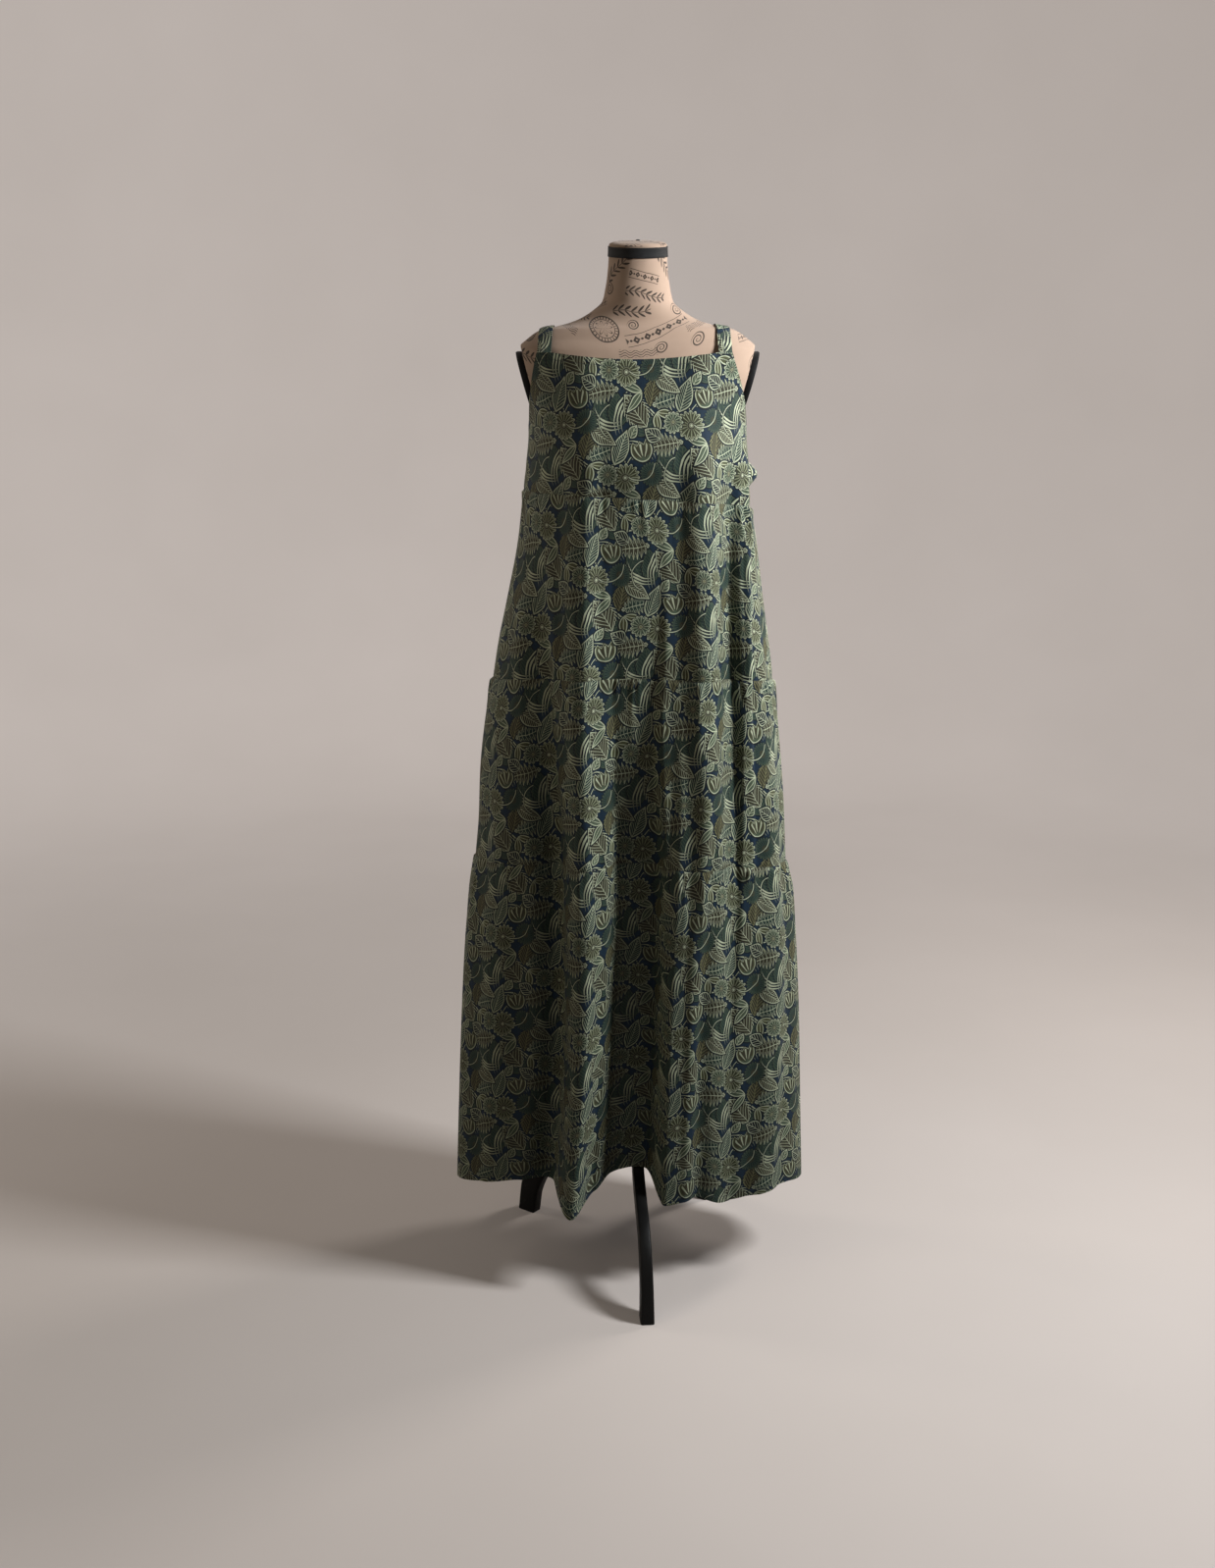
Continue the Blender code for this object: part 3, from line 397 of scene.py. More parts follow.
def measure_rings():
    """Evenly spaced points of the plain ring at every level, and each panel's length round it."""
    points = np.zeros((len(LEVELS), 2, SHARES + 1, 2))
    lengths = np.zeros((len(LEVELS), 2))
    shares = np.linspace(0, 1, SHARES + 1)
    for level, height in enumerate(LEVELS):
        sizes = section(DRESS_SECTIONS, height, "left right front back square")
        for panel in (0, 1):
            turn = np.linspace(0, math.pi, DENSE + 1) + panel * math.pi
            x, y = super_ring(turn, *sizes)
            run = np.concatenate([[0], np.cumsum(np.hypot(np.diff(x), np.diff(y)))])
            lengths[level, panel] = run[-1]
            points[level, panel, :, 0] = np.interp(shares * run[-1], run, x)
            points[level, panel, :, 1] = np.interp(shares * run[-1], run, y)
    return points, lengths


RING_POINTS, RING_LENGTHS = measure_rings()


def split_around(around):
    """Panel and share of it. Around runs 0 to 1 along the front and 1 to 2 back along the back."""
    around = np.mod(around, 2)
    panel = np.where(around < 1, 0, 1)
    return panel, around - panel


def look_up(values, panel, share, height):
    """Values kept for every level, panel and share, read between their places."""
    level = np.clip((height - LEVELS[0]) / (LEVELS[1] - LEVELS[0]), 0, len(LEVELS) - 1.001)
    low = level.astype(int)
    column = share * SHARES
    first = np.minimum(column.astype(int), SHARES - 1)
    up = level - low
    on = column - first
    if values.ndim > 3:
        up, on = up[..., None], on[..., None]
    lower = values[low, panel, first] * (1 - on) + values[low, panel, first + 1] * on
    upper = values[low + 1, panel, first] * (1 - on) + values[low + 1, panel, first + 1] * on
    return lower * (1 - up) + upper * up


def plain_place(around, height):
    """Plan position on the plain ring."""
    return look_up(RING_POINTS, *split_around(around), height)


def metres_around(around, height):
    """Distance round the plain ring from the left side seam, and the whole way round."""
    panel, share = split_around(around)
    front = np.interp(height, LEVELS, RING_LENGTHS[:, 0])
    back = np.interp(height, LEVELS, RING_LENGTHS[:, 1])
    return np.where(panel == 0, share * front, front + share * back), front + back


def share_at(across, level, panel):
    """Share of a panel at which the plain ring of a level is that far to the right of the axis."""
    x = RING_POINTS[level, panel, :, 0]
    shares = np.linspace(0, 1, SHARES + 1)
    return np.interp(across, x, shares) if panel == 0 else np.interp(-across, -x, shares)


def outward(points_before, points_after):
    """Unit vectors in plan, out of the dress, from points just before and after on its ring."""
    along = points_after - points_before
    along = along / np.linalg.norm(along, axis=-1, keepdims=True)
    return np.stack([along[..., 1], -along[..., 0]], axis=-1)


# Folds


def fold_profile(distance, flat, slope_left, slope_right):
    """1 on a fold's crest or floor, falling to 0 at the end of its sides."""
    slope = np.where(distance < 0, slope_left, slope_right)
    t = np.clip((np.abs(distance) - flat) / slope, 0, 1)
    return 0.5 * (1 + np.cos(math.pi * t))


def fold_routes():
    """Each fold's distance round the ring at every level."""
    routes = {}
    for fold in FOLDS:
        panel = 0 if fold["panel"] == "front" else 1
        across = smooth_curve(LEVELS, STATIONS, fold["places"])
        shares = np.array([share_at(x, level, panel) for level, x in enumerate(across)])
        start = RING_LENGTHS[:, 0] if panel else 0
        routes[fold["name"]] = start + shares * RING_LENGTHS[:, panel]
    return routes


FOLD_ROUTES = fold_routes()


def fold_offset(around, height):
    """How far the large folds move the cloth out of the plain ring."""
    here, whole = metres_around(around, height)
    offset = np.zeros(np.shape(here))
    for fold in FOLDS:
        centre = np.interp(height, LEVELS, FOLD_ROUTES[fold["name"]])
        distance = np.mod(here - centre + whole / 2, whole) - whole / 2
        profile = fold_profile(distance, fold["flat"], fold["slope_left"], fold["slope_right"])
        offset += smooth_curve(height, STATIONS, fold["heights"]) * profile
    return offset


def pucker_offset(around, height):
    """The small bulge of the back bodice beside the right side seam."""
    here, _ = metres_around(around, height)
    seam, _ = metres_around(np.ones(np.shape(here)), height)
    sideways = np.clip(np.abs(here - seam - PUCKER["behind_seam"]) / PUCKER["reach"], 0, 1)
    upright = np.clip(np.abs(height - PUCKER["height"]) / PUCKER["span"], 0, 1)
    sideways, upright = 1 + np.cos(math.pi * sideways), 1 + np.cos(math.pi * upright)
    return PUCKER["rise"] * 0.25 * sideways * upright


def cloth_place(around, height, extra=0.0):
    """Plan position of the cloth's outer face."""
    before = plain_place(around - SMALL_STEP, height)
    after = plain_place(around + SMALL_STEP, height)
    offset = fold_offset(around, height) + pucker_offset(around, height) + extra
    return plain_place(around, height) + outward(before, after) * offset[..., None]


def measure_cloth():
    """For every level and panel, the places at equal steps along the folded cloth."""
    fine = np.linspace(0, 1, 4 * SHARES + 1)
    places = np.zeros((len(LEVELS), 2, SHARES + 1))
    for level, height in enumerate(LEVELS):
        for panel in (0, 1):
            around = np.clip(panel + fine, panel, panel + 1 - 1e-9)
            run = running_length(cloth_place(around, np.full(len(fine), height)))
            places[level, panel] = np.interp(np.linspace(0, run[-1], SHARES + 1), run, around)
    return places


CLOTH_PLACES = measure_cloth()


def cloth_around(panel, width_share, height):
    """Place round the dress of a thread that lies at some share of a panel's width of cloth."""
    return look_up(CLOTH_PLACES, panel, width_share, height)


# Edges of the panels


def seam_height(name, around):
    """Height of a seam at a place round the dress."""
    seam = SEAMS[name]
    panel, share = split_around(around)
    rightward = np.where(panel == 0, share, 1 - share)
    rise = np.where(panel == 0, seam["front_rise"], seam["back_rise"])
    side = seam["left"] + (seam["right"] - seam["left"]) * rightward
    return side + rise * np.sin(math.pi * share)


def seam_line(name, panel, width_share):
    """Height of a seam at each share of a panel's width of cloth."""
    level = np.full(len(width_share), (SEAMS[name]["left"] + SEAMS[name]["right"]) / 2)
    return seam_height(name, cloth_around(panel, width_share, level))


def hem_line(panel, width_share):
    """Height of the hem at each share of a panel's width of cloth."""
    level = np.full(len(width_share), HEM_FRONT["height"].min())
    across = plain_place(cloth_around(panel, width_share, level), level)[..., 0]
    hem = HEM_FRONT if panel == 0 else HEM_BACK
    return smooth_curve(across, hem["across"], hem["height"])


def strap_shares(panel):
    """Shares of a bodice panel at the four edges of its straps."""
    places = STRAP_PLACES[panel]
    level = int(np.argmin(np.abs(LEVELS - TOP_HEIGHTS[panel])))
    return np.sort([share_at(x, level, panel) for pair in places.values() for x in pair])


def bodice_top(panel, share):
    """Height of the bodice's top edge: neckline between the armhole curves."""
    first, second, third, fourth = strap_shares(panel)
    climb = np.minimum(np.minimum(share / first, (1 - share) / (1 - fourth)), 1)
    inward = np.clip((share - second) / (third - second), 0, 1)
    armhole = (TOP_HEIGHTS[panel] - UNDERARM_HEIGHT) * climb**2
    return UNDERARM_HEIGHT + armhole - NECKLINE_DIPS[panel] * np.sin(math.pi * inward)


# Small shapes of the cloth


def ease(share):
    """0 to 1 along a soft step."""
    share = np.clip(share, 0, 1)
    return share * share * (3 - 2 * share)


def soft_noise(across, down, seed):
    """Smooth noise between -1 and 1 with a new value about every unit."""
    lattice = np.random.default_rng(seed).uniform(-1, 1, (NOISE_UNITS, NOISE_UNITS))
    column = np.floor(across).astype(int)
    row = np.floor(down).astype(int)
    right = ease(across - column)
    below = ease(down - row)

    def along(row):
        line = row % NOISE_UNITS
        first = lattice[line, column % NOISE_UNITS]
        return first * (1 - right) + lattice[line, (column + 1) % NOISE_UNITS] * right

    return along(row) * (1 - below) + along(row + 1) * below


def creases(kind, across, down, turn):
    """Shallow random creases of one kind."""
    rise, width, length, lean, seed = CREASES[kind]
    return rise * soft_noise(across / width + lean * down, down / length, seed + turn)


def gather_front_share(place):
    """How much of their height the front's gathers have, at a place from its left to its right."""
    share = GATHER_FRONT_SHARE
    grown = ease((place - share["grows_from"]) / share["grows_over"])
    return share["left"] + share["more_at_right"] * grown


def gather_folds(share, drop, seam_width, panel, seed):
    """The small folds that fan out under a gathered seam, uneven in height, width and length."""
    chance = np.random.default_rng(seed)
    offset = np.zeros(share.shape)
    centre = GATHER_START / seam_width
    while centre < 1:
        spacing = chance.uniform(*GATHER_SPACING) / seam_width
        height = GATHER_HEIGHT * chance.uniform(*GATHER_HEIGHT_SPREAD)
        height *= GATHER_BACK_SHARE if panel == 1 else gather_front_share(centre)
        length = float(np.clip(chance.exponential(GATHER_LENGTH), *GATHER_LENGTH_LIMITS))
        lean = chance.uniform(-GATHER_LEAN, GATHER_LEAN) / seam_width
        wide = GATHER_WIDTH["at_seam"] + GATHER_WIDTH["more_below"] * ease(drop / length)
        wide *= spacing
        away = np.abs(share - centre - lean * drop) / wide
        crest = 0.5 * (1 + np.cos(math.pi * np.clip(away, 0, 1)))
        fade = GATHER_AT_SEAM + (1 - GATHER_AT_SEAM) * ease(drop / GATHER_RISE)
        fade *= np.exp(-((drop / length) ** 2))
        offset += height * fade * crest
        centre += spacing
    return offset


def seam_dip(distance):
    """The groove that a seam draws into the cloth on both sides of it."""
    return -SEAM_DIP * (1 - ease(distance / SEAM_DIP_WIDTH))


def seam_tug(across, above, seed):
    """The uneven pull of the next tier's gathers on the cloth just above their seam."""
    tug = 0.5 * (1 + soft_noise(across / SEAM_TUG_PITCH, 0 * across, seed))
    return -SEAM_TUG * tug * np.exp(-((above / SEAM_TUG_REACH) ** 2))


# Meshes


def grid_normals(points):
    """Outward unit vectors of a grid whose rows run down and whose columns run round the dress."""
    normal = np.cross(np.gradient(points, axis=0), np.gradient(points, axis=1))
    return normal / np.linalg.norm(normal, axis=-1, keepdims=True)


def wall_faces(rows, columns):
    """Faces of a closed wall between two grids, the outer one first."""
    outer = np.arange(rows * columns).reshape(rows, columns)
    inner = outer + rows * columns
    quads = []
    for grid, order in ((outer, (0, 3, 2, 1)), (inner, (0, 1, 2, 3))):
        corners = (grid[:-1, :-1], grid[:-1, 1:], grid[1:, 1:], grid[1:, :-1])
        quads.append(np.stack([corners[k] for k in order], axis=-1).reshape(-1, 4))
    for edge_out, edge_in in (
        (outer[0], inner[0]),
        (outer[-1][::-1], inner[-1][::-1]),
        (outer[::-1, 0], inner[::-1, 0]),
        (outer[:, -1], inner[:, -1]),
    ):
        quads.append(np.stack([edge_out[:-1], edge_out[1:], edge_in[1:], edge_in[:-1]], axis=-1))
    return np.concatenate(quads)


def tube_faces(rings, sides):
    """Side faces of a tube of closed rings, each ring given once."""
    ring = np.arange(rings * sides).reshape(rings, sides)
    after = np.roll(ring, -1, axis=1)
    return np.stack([ring[:-1], after[:-1], after[1:], ring[1:]], axis=-1).reshape(-1, 4)


def capped_tube(rings):
    """Faces of a tube of closed rings, with a flat face over each end."""
    count, sides = len(rings), len(rings[0])
    faces = tube_faces(count, sides).tolist()
    faces.append(list(range(sides))[::-1])
    faces.append(list(range((count - 1) * sides, count * sides)))
    return faces


def make_piece(name, points, faces, material, layers=None):
    """A smooth mesh object, moved to its place, with one UV layer for each pair of arrays given."""
    mesh = bpy.data.meshes.new(name)
    flat = np.asarray(points, dtype=float).reshape(-1, 3) + AXIS
    mesh.from_pydata(flat.tolist(), [], [list(face) for face in faces])
    for layer_name, values in (layers or {}).items():
        layer = mesh.uv_layers.new(name=layer_name)
        corner = np.zeros(len(mesh.loops), dtype=np.int32)
        mesh.loops.foreach_get("vertex_index", corner)
        layer.data.foreach_set("uv", values.reshape(-1, 2)[corner].ravel())
    mesh.materials.append(material)
    mesh.shade_smooth()
    mesh.set_sharp_from_angle(angle=math.radians(SHARP_DEGREES))
    piece = bpy.data.objects.new(name, mesh)
    bpy.context.scene.collection.objects.link(piece)
    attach(piece, "root")
    return piece


def cloth_piece(name, outer, cut, edges, material, wall=WALL):
    """A panel of cloth: its outer grid, its cut coordinates and its distances from its edges."""
    inner = outer - grid_normals(outer) * wall
    points = np.concatenate([outer.reshape(-1, 3), inner.reshape(-1, 3)])
    layers = {
        "cut": np.concatenate([cut.reshape(-1, 2)] * 2),
        "edges": np.concatenate([edges.reshape(-1, 2)] * 2),
    }
    faces = wall_faces(*outer.shape[:2])
    return make_piece(name, points, faces, material, layers)


# Dress


def row_shares(length):
    """Shares down a panel, close together at its two seams."""
    even = np.linspace(0, 1, round(length / ROW_STEP) + 1)
    close = np.array(CLOSE_ROWS) / length
    return np.sort(np.concatenate([even, close, 1 - close]))


def tier_piece(tier, panel, material):
    """One half of a gathered tier: a cut rectangle, gathered to the width of its upper seam."""
    width_share = np.linspace(0, 1, TIER_COLUMNS + 1)
    top = seam_line(f"seam_{tier}", panel, width_share)
    lowest = tier == 3
    if lowest:
        bottom = hem_line(panel, width_share)
    else:
        bottom = seam_line(f"seam_{tier + 1}", panel, width_share)
    length = float(np.mean(top - bottom))
    down = row_shares(length)[:, None]
    height = top * (1 - down) + bottom * down
    share = np.broadcast_to(width_share, height.shape)
    around = cloth_around(panel, share, height)
    drop = (top - height) + 0 * share
    left = height - bottom
    plain = cloth_place(around, height)
    seam_width = float(step_lengths(plain[0]).sum())
    cut_width = float(step_lengths(plain[-1]).sum())
    across = share * cut_width
    sideways = np.minimum(share, 1 - share) * cut_width
    turn = tier + 5 * panel
    extra = creases("tier_broad", across, drop, turn) + creases("tier_fine", across, drop, turn)
    extra *= ease(drop / CALM_STRIP) * ease(sideways / CALM_STRIP)
    if not lowest:
        extra *= ease(left / CALM_STRIP)
    folds = gather_folds(share, drop, seam_width, panel, GATHER_SEED + 10 * tier + panel)
    extra += folds * ease(sideways / SIDE_SEAM_STRIP)
    extra += seam_dip(drop) + seam_dip(sideways)
    if not lowest:
        extra += seam_dip(left) + seam_tug(across, left, TIER_TUG_SEED + turn)
    place = cloth_place(around, height, extra)
    outer = np.concatenate([place, height[..., None]], axis=-1)
    cut_across = (share - 0.5) * cut_width + TIER_CUT_STEP * tier + TIER_PANEL_CUT_STEP * panel
    cut = np.stack([cut_across, -down * length + 0 * share], axis=-1)
    edges = np.stack([drop, left if lowest else left + FAR], axis=-1)
    side = SIDE_NAMES[panel]
    name = f"tier_{tier}_{side}"
    piece = cloth_piece(f"cloth_{name}", outer, cut, edges, material)
    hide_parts(name)


def bodice_shares(panel):
    """Shares of a bodice panel for its columns, with one at each corner of its top edge."""
    stops = [0, *strap_shares(panel), 1]
    counts = [ARMHOLE_COLUMNS, STRAP_COLUMNS, NECKLINE_COLUMNS, STRAP_COLUMNS, ARMHOLE_COLUMNS]
    shares = [0.0]
    for start, end, count in zip(stops[:-1], stops[1:], counts, strict=True):
        shares.extend(np.linspace(start, end, count + 1)[1:])
    return np.clip(shares, 0, 1 - 1e-9)


def bodice_piece(panel, material):
    """Half of the bodice, from its top edge to the first tier's seam."""
    share = bodice_shares(panel)
    top = bodice_top(panel, share)
    bottom = seam_height("seam_1", panel + share)
    down = np.linspace(0, 1, BODICE_ROWS + 1)[:, None] ** BODICE_ROW_POWER
    height = top * (1 - down) + bottom * down
    shares = np.broadcast_to(share, height.shape)
    around = panel + shares
    width = float(step_lengths(cloth_place(around, height)[-1]).sum())
    left = height - bottom
    across = shares * width
    sideways = np.minimum(shares, 1 - shares) * width
    extra = creases("bodice_broad", across, height, panel)
    extra += creases("bodice_fine", across, height, panel)
    extra *= ease(left / CALM_STRIP) * ease(sideways / CALM_STRIP)
    extra += seam_dip(left) + seam_dip(sideways)
    extra += seam_tug(across, left, BODICE_TUG_SEED + panel)
    place = cloth_place(around, height, extra)
    outer = np.concatenate([place, height[..., None]], axis=-1)
    rim = np.stack([across[0], top], axis=-1)
    spot = np.stack([across, height], axis=-1)
    to_rim = np.linalg.norm(spot[:, :, None, :] - rim[None, None, :, :], axis=-1).min(axis=-1)
    cut_across = across - width / 2 + BODICE_CUT[0] + BODICE_PANEL_CUT_STEP * panel
    cut = np.stack([cut_across, height - BODICE_CUT[1]], axis=-1)
    edges = np.stack([left + FAR, to_rim], axis=-1)
    side = SIDE_NAMES[panel]
    piece = cloth_piece(f"cloth_bodice_{side}", outer, cut, edges, material)
    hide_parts(f"bodice_{side}")
    length = float(top.max() - bottom.min())


def upper_hull(points):
    """The taut line over a set of (y, height) points, from the first to the last in y."""
    hull = []
    for point in sorted(points):
        while len(hull) > 1:
            (y0, z0), (y1, z1) = hull[-2], hull[-1]
            if (y1 - y0) * (point[1] - z0) - (z1 - z0) * (point[0] - y0) < 0:
                break
            hull.pop()
        hull.append(point)
    return np.array(hull)


def form_side_profile(across):
    """Points of the form's shoulder in the upright plane that far to the side of the axis."""
    points = []
    for height in SHOULDER_HEIGHTS:
        side, front, back, square = section(FORM_SECTIONS, height, "side front back square")
        if side > abs(across):
            deep = (1 - (abs(across) / side) ** square) ** (1 / square)
            for y in (-front * deep, back * deep):
                off = math.hypot(y, height - SHOULDER_CORE)
                stretch = 1 + STRAP_CLEARANCE / off
                points.append((y * stretch, SHOULDER_CORE + (height - SHOULDER_CORE) * stretch))
    return points


def strap_rail(width_share, front_edges, back_edges):
    """Line of a strap at one place in its width: taut from the front edge over the shoulder."""
    ends = []
    for panel, edges in ((0, front_edges), (1, back_edges)):
        share = np.array([edges[0] + (edges[1] - edges[0]) * width_share])
        height = bodice_top(panel, share) - STRAP_TUCK
        place = cloth_place(panel + share, height, -STRAP_BEHIND)
        ends.append(np.array([*place[0], height[0]]))
    front, back = ends
    over = [p for p in form_side_profile((front[0] + back[0]) / 2) if front[1] < p[0] < back[1]]
    hull = upper_hull(over + [tuple(front[1:]), tuple(back[1:])])
    run = np.concatenate([[0], np.cumsum(np.hypot(*np.diff(hull, axis=0).T))])
    steps = np.linspace(0, run[-1], STRAP_STEPS + 1)
    y = np.interp(steps, run, hull[:, 0])
    z = np.interp(steps, run, hull[:, 1])
    x = front[0] + (back[0] - front[0]) * steps / run[-1]
    return np.stack([x, y, z], axis=-1)


def strap_piece(name, side, material):
    """A flat strap, doubled cloth, sewn behind the bodice's front and back edges."""
    front, back = strap_shares(0), strap_shares(1)
    front = front[:2] if side < 0 else front[2:]
    back = back[:1:-1] if side < 0 else back[1::-1]
    across = np.linspace(0, 1, STRAP_COLUMNS + 1)
    grid = np.stack([strap_rail(share, front, back) for share in across], axis=1)
    for _ in range(STRAP_SMOOTHINGS):
        grid[1:-1] = (grid[:-2] + 2 * grid[1:-1] + grid[2:]) / 4
    normal = grid_normals(grid)
    normal *= np.sign(normal[STRAP_STEPS // 2, STRAP_COLUMNS // 2, 2])
    crown = STRAP_CROWN * np.sin(math.pi * across)[None, :, None]
    outer = grid + normal * (STRAP_LIFT + crown)
    if np.cross(outer[1, 0] - outer[0, 0], outer[0, 1] - outer[0, 0]) @ normal[0, 0] < 0:
        outer = outer[:, ::-1]
    width = float(np.linalg.norm(outer[0, -1] - outer[0, 0]))
    along = running_length(outer[:, 0])
    share = np.broadcast_to(across, (STRAP_STEPS + 1, STRAP_COLUMNS + 1))
    cut_across = share * width + STRAP_CUT_STEP * side
    cut = np.stack([cut_across, -along[:, None] + 0 * share], axis=-1)
    edges = np.stack([0 * share + FAR, np.minimum(share, 1 - share) * width], axis=-1)
    piece = cloth_piece(f"cloth_{name}", outer, cut, edges, material, wall=STRAP_WALL)
    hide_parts(name)


# Form and stand


def arm_plate_x(height):
    """Distance from the axis of the flat that carries an arm plate."""
    return ARM_PLATE_TOP[0] + (height - ARM_PLATE_TOP[1]) * ARM_PLATE_LEAN


def form_rings():
    """Rings up the torso and neck, cut flat where the arm plates sit, from a turned-in base."""
    low, high = FORM_SECTIONS["height"][0], FORM_SECTIONS["height"][-1]
    torso = np.linspace(low, FORM_TORSO_HIGH, FORM_ROWS)
    heights = np.concatenate([torso, np.linspace(FORM_NECK_LOW, high, FORM_NECK_ROWS)])
    turn = full_turn(FORM_SIDES)
    rings = []
    for height in heights:
        side, front, back, square, lean = section(
            FORM_SECTIONS, height, "side front back square lean"
        )
        x, y = super_ring(turn, side, side, front, back, square)
        z = height + lean * y
        flat = arm_plate_x(z)
        cut_off = (z > FORM_ARM_LOW) & (z < ARM_PLATE_TOP[1] + FORM_ARM_ABOVE) & (np.abs(x) > flat)
        rings.append(np.stack([np.where(cut_off, np.sign(x) * flat, x), y, z], axis=-1))
    under = rings[0] * np.array([FORM_UNDER_SHARE, FORM_UNDER_SHARE, 1.0])
    return np.array([under + np.array([0, 0, FORM_UNDER_RISE]), *rings])


def form_piece(material):
    """The covered torso and neck, with the cover's coordinates from its middle front."""
    rings = form_rings()
    closed = np.concatenate([rings, rings[:, :1]], axis=1)
    around = np.cumsum(step_lengths(closed, axis=1), axis=1)
    around = np.concatenate([np.zeros((len(rings), 1)), around], axis=1)
    around -= around[:, FORM_SIDES // 4 : FORM_SIDES // 4 + 1]
    up = np.cumsum(step_lengths(closed), axis=0)
    up = np.concatenate([np.zeros((1, FORM_SIDES + 1)), up])
    cover = np.stack([around, up - up[-1:] + COVER_TOP], axis=-1)
    index = np.arange(len(rings) * (FORM_SIDES + 1)).reshape(len(rings), FORM_SIDES + 1)
    corners = (index[:-1, :-1], index[:-1, 1:], index[1:, 1:], index[1:, :-1])
    faces = np.stack(corners, axis=-1).reshape(-1, 4).tolist()
    faces.append(index[0, :-1][::-1].tolist())
    faces.append(index[-1, :-1].tolist())
    piece = make_piece("form_body", closed, faces, material, {"cover": cover})
    welder = bmesh.new()
    welder.from_mesh(piece.data)
    bmesh.ops.remove_doubles(welder, verts=welder.verts, dist=WELD_DISTANCE)
    welder.to_mesh(piece.data)
    welder.free()
    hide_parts("form_torso")


def neck_ring(height, grow=0.0, share=1.0, rise=0.0):
    """A ring round the neck at a height, grown by a distance, shrunk to a share and raised."""
    side, front, back, lean = section(FORM_SECTIONS, height, "side front back lean")
    reach = [(grow + measure) * share for measure in (side, side, front, back)]
    x, y = super_ring(full_turn(NECK_SIDES), *reach, 2)
    return np.stack([x, y, height + rise + lean * y], axis=-1)


def neck_band_piece(material):
    """A woven ribbon round the top of the neck, its edges a little proud."""
    low, high = NECK_BAND
    sunk, bevel, full = (NECK_BAND_THICKNESS * share for share in NECK_BAND_SHARES.values())
    profile = (
        (NECK_BAND_GAP, low),
        (bevel, low),
        (full, low + NECK_BAND_BEVEL),
        (sunk, low + NECK_BAND_EDGE),
        (sunk, high - NECK_BAND_EDGE),
        (full, high - NECK_BAND_BEVEL),
        (bevel, high),
        (NECK_BAND_GAP, high),
    )
    rings = [neck_ring(height, grow) for grow, height in profile]
    faces = tube_faces(len(rings), NECK_SIDES).tolist()
    last = (len(rings) - 1) * NECK_SIDES
    for k in range(NECK_SIDES):
        after = (k + 1) % NECK_SIDES
        faces.append([last + k, last + after, after, k])
    piece = make_piece("ribbon_neck", rings, faces, material)
    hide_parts("neck_band")


def neck_cap_piece(cover, metal):
    """The covered cap on the neck: a low dome with a rolled edge and a small stud in its middle."""
    base = FORM_SECTIONS["height"][-1] + HAIR_GAP
    rings = []
    for climb in NECK_CAP_CLIMBS:
        share = math.cos(climb * math.pi / 2) ** NECK_CAP_ROUNDING
        rise = NECK_CAP_RISE * math.sin(climb * math.pi / 2)
        rings.append(neck_ring(base, share=share, rise=rise))
    rings = np.array(rings)
    layer = {"cover": rings[..., :2] + NECK_CAP_COVER}
    piece = make_piece("cap_neck", rings, capped_tube(rings), cover, layer)
    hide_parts("neck_cap")
    turn = full_turn(NECK_SIDES)[::4]
    rings = []
    for radius, rise in STUD_PROFILE:
        z = np.full(len(turn), base + NECK_CAP_RISE + rise)
        rings.append(np.stack([np.cos(turn) * radius, np.sin(turn) * radius, z], axis=-1))
    make_piece("stud_neck", rings, capped_tube(rings), metal)


# Section of an arm plate from its back to its middle: share of its reach, share of its thickness
ARM_PLATE_RIM = (
    (1.0, 0.0),
    (1.02, 0.20),
    (1.02, 0.72),
    (0.995, 0.97),
    (0.955, 1.0),
    (0.915, 0.96),
    (0.895, 0.80),
    (0.875, 0.78),
    (0.6, 0.83),
    (0.3, 0.86),
    (0.05, 0.87),
)


def arm_plate_piece(name, side, material):
    """An oval plate with a taped, rounded rim."""
    low, high = ARM_PLATE_HEIGHTS
    turn = full_turn(NECK_SIDES)
    rings = []
    for share, out in ARM_PLATE_RIM:
        height = (low + high) / 2 + share * (high - low) / 2 * np.sin(turn)
        y = share * ARM_PLATE_DEPTH / 2 * np.cos(turn) * (1 + ARM_PLATE_WIDER_ABOVE * np.sin(turn))
        x = side * (arm_plate_x(height) + HAIR_GAP + ARM_PLATE_THICKNESS * out)
        rings.append(np.stack([x, y, height], axis=-1))
    faces = capped_tube(rings)
    if side < 0:
        faces = [face[::-1] for face in faces]
    piece = make_piece(f"plate_{name}", rings, faces, material)
    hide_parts(name)


